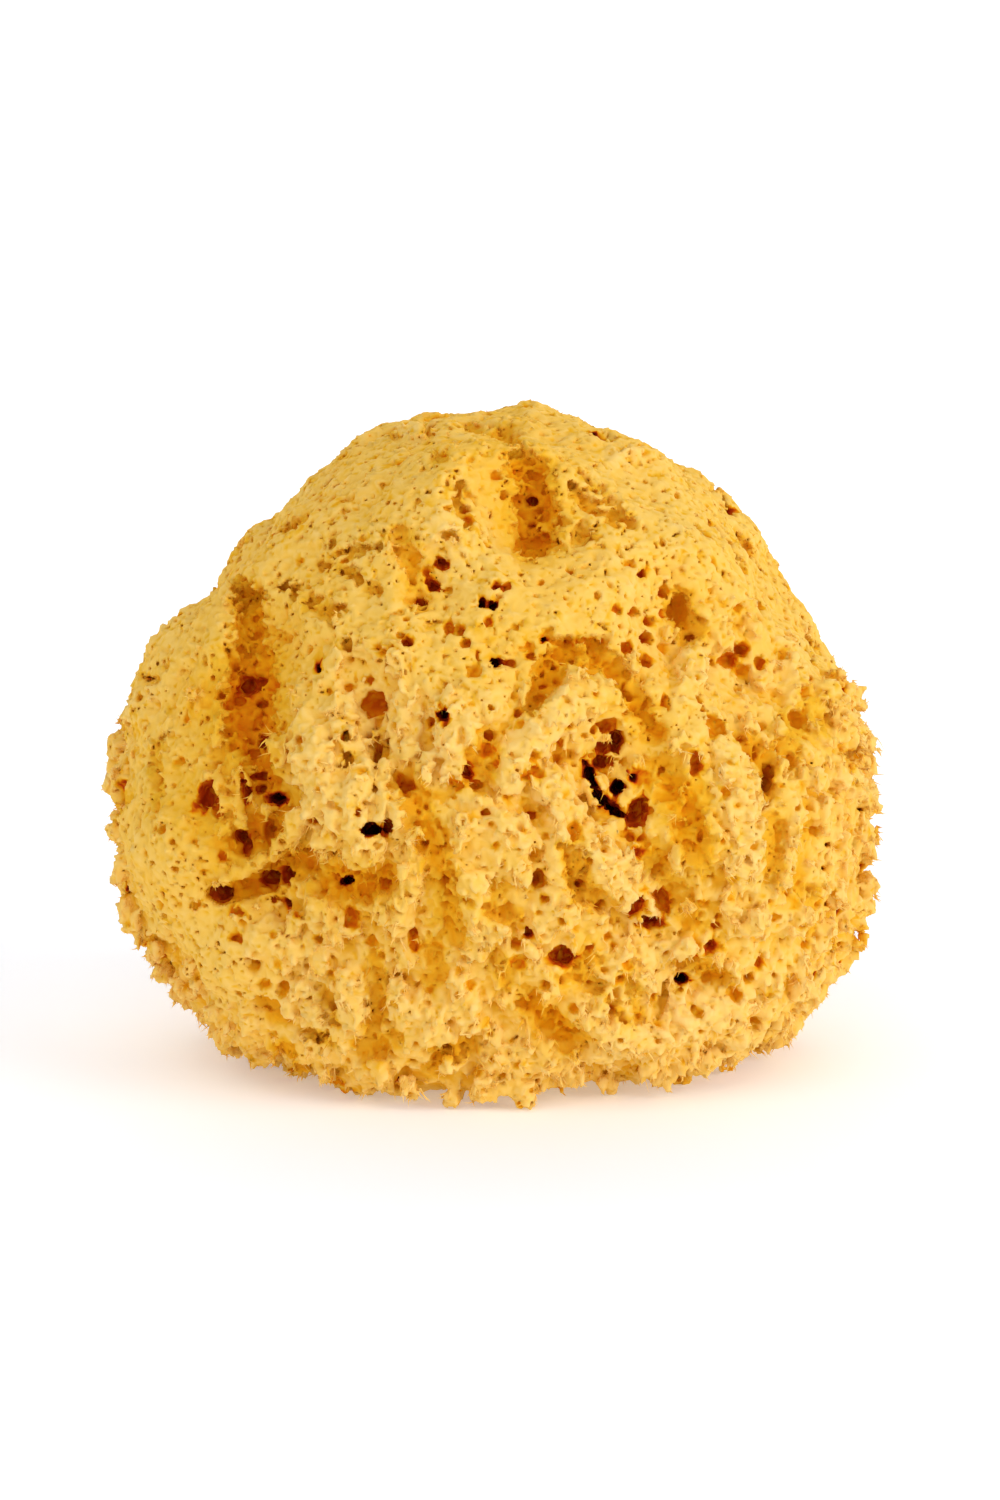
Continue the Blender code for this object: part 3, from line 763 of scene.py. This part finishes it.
# %% Dig the front holes and the gaps
# column, row, width, height in pixels of gaps that let the light through from behind
GAPS = (
    (156, 677, 14, 6), (131, 729, 15, 15), (259, 538, 8, 9), (402, 435, 8, 9), (431, 424, 6, 26),
    (859, 753, 26, 11), (866, 808, 12, 5), (832, 843, 7, 6), (828, 867, 8, 6), (832, 903, 7, 7),
    (854, 920, 4, 4), (816, 762, 4, 4),
)
hole_rng = np.random.default_rng(31)


def dig_front_holes(holes):
    """Dig the holes that the photograph shows; deeper ones follow the line of sight more."""
    middles, rays = on_hull([hole[:2] for hole in holes])
    mouths, found = skin_on_line(middles - rays * 3 * MM, rays)
    mouths = np.where(found[:, None], mouths, middles)
    outs = outward_at(mouths)
    for mouth, ray, out, (_, _, wide, high, (depth, colour), turn) in zip(mouths, rays, outs, holes):
        follow = 0.35 + 0.5 * smooth_step(depth, 1.8, 9.0)
        inward = unit(ray * follow - out * (1 - follow))
        angle = math.radians(turn)
        rightward = np.array(picture_right) * math.cos(angle) - np.array(picture_up) * math.sin(angle)
        sideways = unit(rightward - inward * rightward.dot(inward))
        wide, high = wide * PIXEL, high * PIXEL
        deep = depth * MM * np.clip(math.sqrt(wide * high) / (2.2 * MM), 0.7, 1.5)
        dig_hole(mouth, inward, sideways, wide * 1.08, high * 1.08, deep, colour, hole_rng)


dig_front_holes(FRONT_HOLES)
for column, row, wide, high in GAPS:
    (middle,), (ray,) = on_hull([(column, row)])
    sideways = unit(np.array(picture_right) - ray * ray[0])
    # the gap's walls get a little painted shade
    dig_hole(middle - ray * 14 * MM, ray, sideways, wide * PIXEL, high * PIXEL, 56 * MM, 0.2,
             np.random.default_rng(32), rough=0.1 * MM)
report("front holes:", len(FRONT_HOLES), "gaps:", len(GAPS))

# %% [markdown]
# ## Holes on the other sides
#
# The photograph doesn't show the back, so its holes follow the front's habit: a few wide channels in
# the folds and many middling ones. Small pits are everywhere, closest together on the velvet.

# %% Strew the other holes


def dig_strewn(mouths, outs, wide_range, kinds, rng, rough=0.22 * MM, blend=0.3 * MM):
    """Dig a hole of random size and kind at each mouth, roughly straight in."""
    for mouth, out in zip(mouths, outs):
        inward = unit(-out + rng.normal(size=3) * 0.3)
        sideways = unit(np.cross(inward, rng.normal(size=3)))
        wide = rng.uniform(*wide_range) * MM
        high = wide * rng.uniform(0.65, 1.1)
        depth, colour = kinds[rng.integers(len(kinds))]
        deep = depth * MM * np.clip(wide / (2.2 * MM), 0.45, 1.5)
        dig_hole(mouth, inward, sideways, wide, high, deep, colour, rng, rough, blend)


def mouths_on_skin(spacing_of, throws, seed, keep):
    """Strewn points moved in along the hull's outward direction to the clay's present surface."""
    roots = strew(spacing_of, throws, seed, keep)
    outs = outward_at(roots)
    mouths, found = skin_on_line(roots + outs * 2.5 * MM, -outs, 9 * MM)
    return mouths[found], outs[found]


other_rng = np.random.default_rng(41)
big = mouths_on_skin(lambda p: np.full(len(p), 13 * MM), 2500, 42, behind)
dig_strewn(*big, (2.2, 4.6), (RED, DARK, DARK, BLACK), other_rng)
middling = mouths_on_skin(lambda p: np.full(len(p), 6.0 * MM), 5000, 43, behind)
dig_strewn(*middling, (1.3, 2.4), (PALE, ORANGE, ORANGE, RED, RED, DARK), other_rng)
report("other holes:", len(big[0]), len(middling[0]))

# %% [markdown]
# ## Pits
#
# Between the fine pores and the holes there are pits a millimetre across, most of them low on the
# sponge. They are shallow, and painted a shaded ochre inside.

# %% Strew the pits
pit_rng = np.random.default_rng(51)
pits = mouths_on_skin(
    lambda p: (5.2 - 1.8 * shagginess(p) + 0.8 * np.clip(felt_over(lumps, p + 0.03, HULL_STEP), -1, 2)) * MM,
    20000, 52, above_floor)
PIT_KINDS = ((1.6, 0.38), (2.2, 0.42), (2.8, 0.46))
dig_strewn(*pits, (0.8, 1.5), PIT_KINDS, pit_rng, rough=0.15 * MM, blend=0.2 * MM)
report("pits:", len(pits[0]))

# %% [markdown]
# ## The flat cut underneath
#
# The sponge was cut from its rock with a knife, and stands on that cut. The cut is a plane through
# all the fibre, so channels that reach it are open there, with sharp edges.

# %% Cut the floor and open the cut channels
cut_rng = np.random.default_rng(55)
for _ in range(46):
    spot = np.array((cut_rng.uniform(-36, 46), cut_rng.uniform(-42, 35), 0.0)) * MM
    wide = cut_rng.uniform(1.2, 4.5) * MM
    # the cut channel's walls get painted shade
    dig_hole(spot, np.array((0.0, 0.0, 1.0)), np.array((1.0, 0.0, 0.0)), wide, wide * cut_rng.uniform(0.6, 1),
             wide * cut_rng.uniform(1.0, 2.0), 0.6, cut_rng)
height = ((np.arange(clay.shape[2]) + clay_first[2]) * STEP).astype(np.float32)
clay += 0.10 * MM * felt_at(felt, everywhere)
np.maximum(clay, -height[None, None, :], out=clay)
report("floor cut")

# %% [markdown]
# ## Off with the skin
#
# The surface of the clay is where its distance is nought. It comes off as one mesh, in small squares.
# Noise leaves a few crumbs floating free; only the largest connected piece is kept. Then the squares
# are thinned where the surface is even, to stay within what the part may have.

# %% Take the skin off the clay
SKIN_TRIANGLES = 720000
skin_grid = vdb.FloatGrid(4 * STEP)
skin_grid.transform = vdb.createLinearTransform(voxelSize=STEP)
skin_grid.copyFromArray(np.clip(clay, -4 * STEP, 4 * STEP), ijk=tuple(int(n) for n in clay_first))
skin_points, skin_quads = skin_grid.convertToQuads(isovalue=0.0)
skin_quads = skin_quads[:, ::-1].astype(np.int64)
report("skin squares:", len(skin_quads))


def largest_part(count, faces):
    """Which faces belong to the largest connected piece of a mesh."""
    label = np.arange(count)
    a, b = faces[:, :-1].ravel(), faces[:, 1:].ravel()
    while True:
        low, high = np.minimum(label[a], label[b]), np.maximum(label[a], label[b])
        apart = low != high
        if not apart.any():
            break
        label[high[apart]] = low[apart]
        a, b = a[apart], b[apart]
        while (label[label] != label).any():
            label = label[label]
    face_label = label[faces[:, 0]]
    names, sizes = np.unique(face_label, return_counts=True)
    return face_label == names[sizes.argmax()]


kept = largest_part(len(skin_points), skin_quads)
used, corners = np.unique(skin_quads[kept], return_inverse=True)
skin_points, skin_quads = skin_points[used], corners.reshape(-1, 4)
report("crumbs dropped, squares:", int((~kept).sum()))


def mesh_of(name, points, faces, smooth=True):
    """A mesh from arrays of points and of faces that all have the same number of corners."""
    mesh = bpy.data.meshes.new(name)
    sides = faces.shape[1]
    mesh.vertices.add(len(points))
    mesh.vertices.foreach_set("co", np.ascontiguousarray(points, np.float32).ravel())
    mesh.loops.add(faces.size)
    mesh.loops.foreach_set("vertex_index", np.ascontiguousarray(faces, np.int32).ravel())
    mesh.polygons.add(len(faces))
    mesh.polygons.foreach_set("loop_start", np.arange(0, faces.size, sides, dtype=np.int32))
    mesh.polygons.foreach_set("use_smooth", np.full(len(faces), smooth))
    mesh.update(calc_edges=True)
    return mesh


skin = bpy.data.objects.new("skin", mesh_of("skin", skin_points, skin_quads))
bpy.context.scene.collection.objects.link(skin)
thin = skin.modifiers.new("thin", "DECIMATE")
thin.ratio = min(1.0, SKIN_TRIANGLES / (2 * len(skin_quads)))
whole = bpy.data.meshes.new_from_object(skin.evaluated_get(bpy.context.evaluated_depsgraph_get()))
report("thinned to triangles:", len(whole.polygons))

# %% [markdown]
# ## Painted light and shade by depth
#
# The fibre is the same all through; what changes is how much of its own golden light it sits in, and
# that light and shade are painted into its colour. Tips are painted pale as lit, valleys a shaded ochre,
# and the walls of the holes from the orange of light come through the fibre to the dark red brown of
# deep shade. Each point of the skin gets a tone of painted shade for that, from how open it lies and
# from the painted shade of the holes, and a tint that wanders slowly. Both are kept in the mesh's map,
# where the material reads them.

# %% Tone and tint of the skin


def mean_clay(block, factor):
    """The clay averaged in cubes, and where its first cube's middle is, in cubes."""
    count = np.array(block.shape) // factor
    trimmed = block[:count[0] * factor, :count[1] * factor, :count[2] * factor]
    cubes = trimmed.reshape(count[0], factor, count[1], factor, count[2], factor).mean(axis=(1, 3, 5))
    return cubes, (clay_first + (factor - 1) / 2) / factor


cubes, cubes_first = mean_clay(clay, 4)
fine_cubes, fine_first = mean_clay(clay, 2)
tints = felt_block(((16 * MM, 1.0), (5 * MM, 0.6)), seed=15, spacing=HULL_STEP)
NAP_STEP = 0.2 * MM
even_nap = felt_block(((0.8 * MM, 1.0),), seed=18, spacing=NAP_STEP)
hanging_nap = felt_block(((0.8 * MM, 1.0),), seed=22, spacing=NAP_STEP, comb=3.5)


def nap_at(points, shag):
    """Height of the finest roughness: even grains on the velvet, hanging lines on the shag."""
    even = felt_over(even_nap, points, NAP_STEP)
    hanging = felt_over(hanging_nap, points, NAP_STEP)
    return even * (1 - shag) + hanging * shag


def openness(points):
    """About 1 at a tuft's tip, 0 on even skin and -1 down a pit."""
    coarse = sample(cubes, cubes_first, 4 * STEP, points) / (0.9 * MM)
    fine = sample(fine_cubes, fine_first, 2 * STEP, points) / (0.25 * MM)
    return np.clip(0.6 * coarse + 0.4 * np.clip(fine, -1.5, 1.5), -1.2, 1.2)


# column, row, radius in pixels, and how much painted shade darkens the tone there; below nought, painted
# light makes it paler
SHADE_SPOTS = (
    (238, 690, 55, 0.15), (262, 745, 35, 0.10), (250, 850, 60, 0.11), (345, 880, 45, 0.08),
    (532, 500, 40, 0.12), (535, 545, 25, 0.08), (420, 580, 30, 0.06), (470, 660, 40, 0.04),
    (610, 700, 45, 0.06), (690, 820, 45, 0.06), (600, 770, 45, 0.05), (440, 890, 45, 0.05),
    (560, 1035, 35, 0.08), (160, 790, 60, 0.04), (300, 600, 50, 0.04),
    (480, 440, 70, 0.04), (205, 800, 35, 0.08), (770, 760, 30, 0.04), (545, 650, 35, 0.06),
    (560, 725, 50, -0.05), (745, 830, 50, -0.04), (620, 880, 45, -0.04), (455, 745, 40, -0.04),
    (680, 1020, 90, -0.04), (830, 960, 70, -0.05), (330, 770, 40, -0.03), (210, 650, 30, -0.02),
)
shade_middles, _ = on_hull([spot[:2] for spot in SHADE_SPOTS])


def by_line(points, lines, reach):
    """1 on the strokes laid or carved before, falling to 0 about a reach of their widths away."""
    most = np.zeros(len(points), np.float32)
    for start, end, wide in lines:
        along = end - start
        share = np.clip((points - start) @ along / max(float(along @ along), 1e-12), 0, 1)
        off = ((points - start - share[:, None] * along) ** 2).sum(axis=1)
        most = np.maximum(most, np.exp(-off / (reach * wide) ** 2))
    return most


def tone_at(points):
    """Painted light and shade: 0 for the palest tips, through gold and orange, to 1 for the floor of the
    deepest channels.
    """
    depth = np.maximum(-sample(hull, hull_first, HULL_STEP, points), 0) / MM
    # painted shade deeper under the hull, down pits and in carved valleys; painted light on tips, fine grains
    # and laid masses
    tone = 0.14 + 0.20 * smooth_step(depth, 1.6, 4.2) - 0.12 * openness(points)
    tone = tone - 0.03 * nap_at(points, shagginess(points))
    tone = tone - 0.06 * by_line(points, laid[True], 1.1) + 0.10 * by_line(points, laid[False], 1.5)
    for middle, (_, _, radius, darker) in zip(shade_middles, SHADE_SPOTS):
        tone = tone + darker * np.exp(-((points - middle) ** 2).sum(axis=1) / (radius * PIXEL) ** 2)
    return np.clip(np.maximum(tone, sample(painted_recess_shade, clay_first, STEP, points)), 0.0, 1.0)


def tint_at(points):
    """A slow wander of the colour over the sponge, from 0 to 1."""
    return np.clip(0.5 + 0.18 * felt_over(tints, points, HULL_STEP), 0.0, 1.0)


def paint(mesh, tone, tint):
    """Store tone and tint of the mesh's points as the map that the material reads."""
    corner = np.empty(len(mesh.loops), np.int32)
    mesh.loops.foreach_get("vertex_index", corner)
    layer = mesh.uv_layers.new(name="OFBake")
    layer.uv.foreach_set("vector", np.stack((tone[corner], tint[corner]), axis=1).astype(np.float32).ravel())


NAP = 0.09 * MM                        # height of the finest roughness
skin_places, skin_faces = mesh_arrays(whole)
skin_faces = skin_faces.astype(np.int64)
skin_normals = np.empty(len(whole.vertices) * 3, np.float32)
whole.vertices.foreach_get("normal", skin_normals)
nap = np.clip(nap_at(skin_places, shagginess(skin_places)), -1.8, 1.8)
nap = nap * smooth_step(skin_places[:, 2], 0.3 * MM, 1.5 * MM)
skin_places = skin_places + skin_normals.reshape(-1, 3) * (NAP * nap)[:, None]
skin_places[:, 2] = np.maximum(skin_places[:, 2], 0)
whole.vertices.foreach_set("co", skin_places.astype(np.float32).ravel())
whole.update()
skin_normals = np.empty(len(whole.vertices) * 3, np.float32)
whole.vertices.foreach_get("normal", skin_normals)
skin_normals = skin_normals.reshape(-1, 3)
skin_tone = tone_at(skin_places)
skin_tint = tint_at(skin_places)
report("painted")

# %% [markdown]
# ## Pieces
#
# One mesh of this size is awkward to handle, so the skin is dealt out into four, as the slices of a
# cake are. The normals come from the whole skin, so that no seam shows between the slices.

# %% Split into pieces
PIECE_LIMIT = 195000
face_middle = skin_places[skin_faces].mean(axis=1)
order = np.argsort(np.arctan2(face_middle[:, 1], face_middle[:, 0]), kind="stable")
pieces = []
for number, chosen in enumerate(np.array_split(order, -(-len(skin_faces) // PIECE_LIMIT))):
    used, corners = np.unique(skin_faces[chosen], return_inverse=True)
    mesh = mesh_of(f"skin_{number + 1}", skin_places[used], corners.reshape(-1, 3))
    paint(mesh, skin_tone[used], skin_tint[used])
    mesh.normals_split_custom_set_from_vertices(skin_normals[used].tolist())
    piece = bpy.data.objects.new(f"sponge_skin_{number + 1}", mesh)
    bpy.context.scene.collection.objects.link(piece)
    pieces.append(piece)
bpy.data.objects.remove(skin)
report("split:", [len(piece.data.polygons) for piece in pieces])

# %% [markdown]
# ## Fibres
#
# The nap of a sponge is the loose ends of its fibres. They are made as mesh, because they show against
# the light all round the outline: short upright spikes on the velvet, longer bent ones on the tufts.
# Each is closed and starts under the skin. Their faces stay flat, because smooth shading, rounding a
# corner as sharp as a fibre's, would leave dark streaks.

# %% Fibres
FIBRE_SHARE = 1.0
fibre_rng = np.random.default_rng(61)
edge_a = skin_places[skin_faces[:, 1]] - skin_places[skin_faces[:, 0]]
edge_b = skin_places[skin_faces[:, 2]] - skin_places[skin_faces[:, 0]]
face_across = np.cross(edge_a, edge_b)
face_area = np.linalg.norm(face_across, axis=1) / 2
face_normal = unit(face_across)
face_depth = -sample(hull, hull_first, HULL_STEP, face_middle) / MM
face_out = outward_at(face_middle)
face_shag = shagginess(face_middle)
face_open = openness(face_middle)
face_recess_shade = sample(painted_recess_shade, clay_first, STEP, face_middle)
outer = (face_depth < 3.6) & (face_middle[:, 2] > 1.0 * MM) & ((face_normal * face_out).sum(1) > 0.0)
outer = outer * np.clip(1.2 - 3.2 * face_recess_shade, 0, 1) * np.clip(1.0 + face_open, 0, 2)
outer = outer * np.where(face_out @ np.array(look) < 0.2, 1.0, 0.6)


strokes_of_hair = felt_block(((3.4 * MM, 1.0), (2.0 * MM, 0.6)), seed=62)


def spikes(name, roots, ways, lengths, widths, tone, tint, bent):
    """Closed spikes, one to a root: four-faced ones, or ten-faced ones that bend half way."""
    side = unit(np.cross(ways, fibre_rng.normal(size=ways.shape)))
    other = np.cross(ways, side)
    sag = fibre_rng.normal(size=ways.shape) * 0.22
    rings = []
    for share, thick in ((0.0, 1.0), (0.5, 0.7))[:2 if bent else 1]:
        centre = roots + ways * (lengths * share)[:, None] + sag * (lengths * share * share)[:, None]
        for angle in (0.0, 2 * math.pi / 3, 4 * math.pi / 3):
            spoke = side * math.cos(angle) + other * math.sin(angle)
            rings.append(centre + spoke * (widths * thick / 2)[:, None])
    points = np.stack(rings + [roots + (ways + sag) * lengths[:, None]], axis=1)
    points[..., 2] = np.maximum(points[..., 2], 0.05 * MM)
    per = points.shape[1]
    pattern = [(0, 2, 1)]
    last = 0
    if bent:
        for k, n in ((0, 1), (1, 2), (2, 0)):
            pattern += [(k, n, 3 + n), (k, 3 + n, 3 + k)]
        last = 3
    pattern += [(last + k, last + (k + 1) % 3, per - 1) for k in range(3)]
    faces = (np.array(pattern)[None] + per * np.arange(len(roots))[:, None, None]).reshape(-1, 3)
    mesh = mesh_of(name, points.reshape(-1, 3), faces, smooth=False)
    # painted light and shade: each fibre takes the skin's painted tone at its root, and its tip is painted
    # paler
    fade = np.array([0.0] * 3 + [0.5] * 3 * bent + [1.0])
    tones = np.clip(tone[:, None] - 0.04 * fade[None], 0, 1)
    paint(mesh, tones.ravel(), np.repeat(tint, per))
    return mesh


def fringe(name, count, weight, base_length, spread, width, bent):
    """Root fibres on the skin where the weight is, and make them one piece."""
    count = int(count * FIBRE_SHARE)
    chance = face_area * outer * weight
    face = fibre_rng.choice(len(chance), count, p=chance / chance.sum())
    u, v = fibre_rng.random((2, count, 1))
    flip = (u + v) > 1
    u, v = np.where(flip, 1 - u, u), np.where(flip, 1 - v, v)
    roots = skin_places[skin_faces[face, 0]] + edge_a[face] * u + edge_b[face] * v
    shag = face_shag[face][:, None]
    ways = 0.6 * face_normal[face] + 0.4 * face_out[face] + 0.7 * shag * DOWN
    brushed = np.stack([felt_over(strokes_of_hair, roots + shift * 0.021) for shift in (0, 1, 2)], axis=1)
    ways = unit(ways + (0.3 + 0.25 * shag) * brushed + fibre_rng.normal(size=ways.shape) * spread)
    lengths = base_length(face_shag[face]) * fibre_rng.uniform(0.55, 1.35, count) * MM
    lengths = lengths * (1 + 0.35 * np.clip(face_open[face], -0.6, 1))
    widths = width * fibre_rng.uniform(0.75, 1.25, count)
    roots = roots - ways * 0.12 * MM
    clear = (roots + ways * lengths[:, None])[:, 2] > 0.6 * MM
    roots, ways, lengths, widths = (x[clear] for x in (roots, ways, lengths, widths))
    tone = tone_at(roots + ways * 0.1 * MM) + 0.02 + fibre_rng.normal(size=len(roots)) * 0.02
    tint = np.clip(tint_at(roots) + fibre_rng.normal(size=len(roots)) * 0.12, 0, 1)
    piece = bpy.data.objects.new(name, spikes(name, roots, ways, lengths, widths, tone, tint, bent))
    bpy.context.scene.collection.objects.link(piece)
    pieces.append(piece)


on_edges = 0.2 + face_shag * np.clip(0.3 + face_open, 0, 1.3) * np.clip(0.5 - face_normal[:, 2], 0.1, 1.2)
fringe("tuft_fibres", 13000, on_edges, lambda s: 0.6 + 0.8 * s, 0.15, 0.3 * MM, True)
fringe("velvet_fibres", 30000, 1.15 - face_shag, lambda s: 0.45 + 0.4 * s, 0.22, 0.32 * MM, False)
report("fibres")

# %% [markdown]
# ## The finish
#
# Sponge fibre is dull, with no gloss at all. Light that has come through it is orange, which is why its
# hollows glow where a painted lump would only be dark; the fibres are too thin for a scattering shader,
# which turns them grey, so the colours do that work. Two runs of colour, a warmer and a cooler one, go
# from pale tip to the dark of the deepest channel. The tone picks the place, and the tint mixes the two.

# %% Material


def sponge_material():
    """Golden fibre: the colour runs with the tone, and wanders with the tint."""
    material = bpy.data.materials.new("spongin")
    material.use_nodes = True
    nodes, links = material.node_tree.nodes, material.node_tree.links
    shader = nodes["Principled BSDF"]
    place = nodes.new("ShaderNodeUVMap")
    place.uv_map = "OFBake"
    split = nodes.new("ShaderNodeSeparateXYZ")
    links.new(place.outputs["UV"], split.inputs[0])

    def ramp(stops):
        node = nodes.new("ShaderNodeValToRGB")
        links.new(split.outputs["X"], node.inputs["Fac"])
        elements = node.color_ramp.elements
        while len(elements) < len(stops):
            elements.new(0.5)
        for element, (position, colour) in zip(elements, stops):
            element.position = position
            element.color = (*colour, 1.0)
        return node

    warm = ramp(((0.0, (0.97, 0.64, 0.19)), (0.12, (0.94, 0.56, 0.095)), (0.24, (0.89, 0.46, 0.025)),
                 (0.38, (0.84, 0.35, 0.006)), (0.54, (0.76, 0.20, 0.004)), (0.68, (0.60, 0.07, 0.004)),
                 (0.82, (0.30, 0.02, 0.004)), (1.0, (0.02, 0.003, 0.002))))
    cool = ramp(((0.0, (0.96, 0.66, 0.22)), (0.12, (0.92, 0.58, 0.12)), (0.24, (0.86, 0.48, 0.035)),
                 (0.38, (0.81, 0.36, 0.008)), (0.54, (0.71, 0.20, 0.005)), (0.68, (0.52, 0.065, 0.004)),
                 (0.82, (0.25, 0.02, 0.004)), (1.0, (0.02, 0.003, 0.002))))
    mix = nodes.new("ShaderNodeMix")
    mix.data_type = "RGBA"
    links.new(split.outputs["Y"], mix.inputs["Factor"])
    links.new(cool.outputs["Color"], mix.inputs["A"])
    links.new(warm.outputs["Color"], mix.inputs["B"])
    links.new(mix.outputs["Result"], shader.inputs["Base Color"])
    shader.inputs["Roughness"].default_value = 0.9
    shader.inputs["Specular IOR Level"].default_value = 0.0
    return material


finish = sponge_material()
for piece in pieces:
    piece.data.materials.append(finish)
    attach(piece, "root")
    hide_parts("sponge")

# %% [markdown]
# ## Floor and light
#
# The photograph was taken on white, with a large soft light from the right, low enough to throw the
# shadow to the left, and a weaker one from the front left above. The floor is a sheet of paper that
# curves up behind. It glows a little, as an overexposed sheet does, and has the faint mottling of paper.

# %% Floor
bpy.context.scene.view_settings.view_transform = "Standard"
FLAT_TO, CURVE, WALL_TOP = 2.0, 1.5, 6.0
bend = [math.radians(turn) for turn in range(6, 91, 6)]
SWEEP = [(-6.0, 0.0), (FLAT_TO, 0.0)]
SWEEP += [(FLAT_TO + CURVE * math.sin(turn), CURVE - CURVE * math.cos(turn)) for turn in bend]
SWEEP += [(FLAT_TO + CURVE, WALL_TOP)]
rails = np.array([(x, y, z) for y, z in SWEEP for x in (-8.0, 8.0)])
strips = np.array([(2 * n, 2 * n + 1, 2 * n + 3, 2 * n + 2) for n in range(len(SWEEP) - 1)])
floor_mesh = mesh_of("floor", rails, strips)
floor = bpy.data.objects.new("floor", floor_mesh)
bpy.context.scene.collection.objects.link(floor)
white = bpy.data.materials.new("floor")
white.use_nodes = True
paper = white.node_tree.nodes["Principled BSDF"]
paper.inputs["Base Color"].default_value = (0.94, 0.96, 1.0, 1)
paper.inputs["Roughness"].default_value = 0.9
paper.inputs["Emission Color"].default_value = (1, 1, 1, 1)
paper.inputs["Emission Strength"].default_value = 0.24
paper_noise = white.node_tree.nodes.new("ShaderNodeTexNoise")
paper_noise.inputs["Scale"].default_value = 900.0
paper_place = white.node_tree.nodes.new("ShaderNodeTexCoord")
paper_range = white.node_tree.nodes.new("ShaderNodeMapRange")
paper_range.inputs["To Min"].default_value = 0.85
paper_range.inputs["To Max"].default_value = 0.95
white.node_tree.links.new(paper_place.outputs["Object"], paper_noise.inputs["Vector"])
white.node_tree.links.new(paper_noise.outputs["Fac"], paper_range.inputs["Value"])
white.node_tree.links.new(paper_range.outputs["Result"], paper.inputs["Roughness"])
floor_mesh.materials.append(white)
floor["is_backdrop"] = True

# %% Light
world = bpy.data.worlds.new("studio")
world.use_nodes = True
world.node_tree.nodes["Background"].inputs["Color"].default_value = (1, 1, 1, 1)
world.node_tree.nodes["Background"].inputs["Strength"].default_value = 0.42
bpy.context.scene.world = world
# name, strength, width in degrees, direction that the light goes in
LIGHTS = (
    ("key", 1.35, 40, (-0.9, 0.5, -0.40)),
    ("fill", 0.8, 60, (0.35, 0.8, -0.75)),
)
for name, strength, wide, way in LIGHTS:
    sun = bpy.data.lights.new(name, "SUN")
    sun.energy = strength
    sun.angle = math.radians(wide)
    lamp = bpy.data.objects.new(name, sun)
    bpy.context.scene.collection.objects.link(lamp)
    lamp.rotation_euler = Vector(way).to_track_quat("-Z", "Y").to_euler()

# %% [markdown]
# ## Sizes
#
# The finished sponge's box is printed, to set beside the imported model's size printed at the start,
# to see that the fibres add almost nothing to the sponge's size.

# %% Finish
low_corner, high_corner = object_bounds()
report("visual mm:", [round(x / MM, 1) for x in low_corner], [round(x / MM, 1) for x in high_corner])
report("triangles:", sum(len(piece.data.polygons) for piece in pieces))
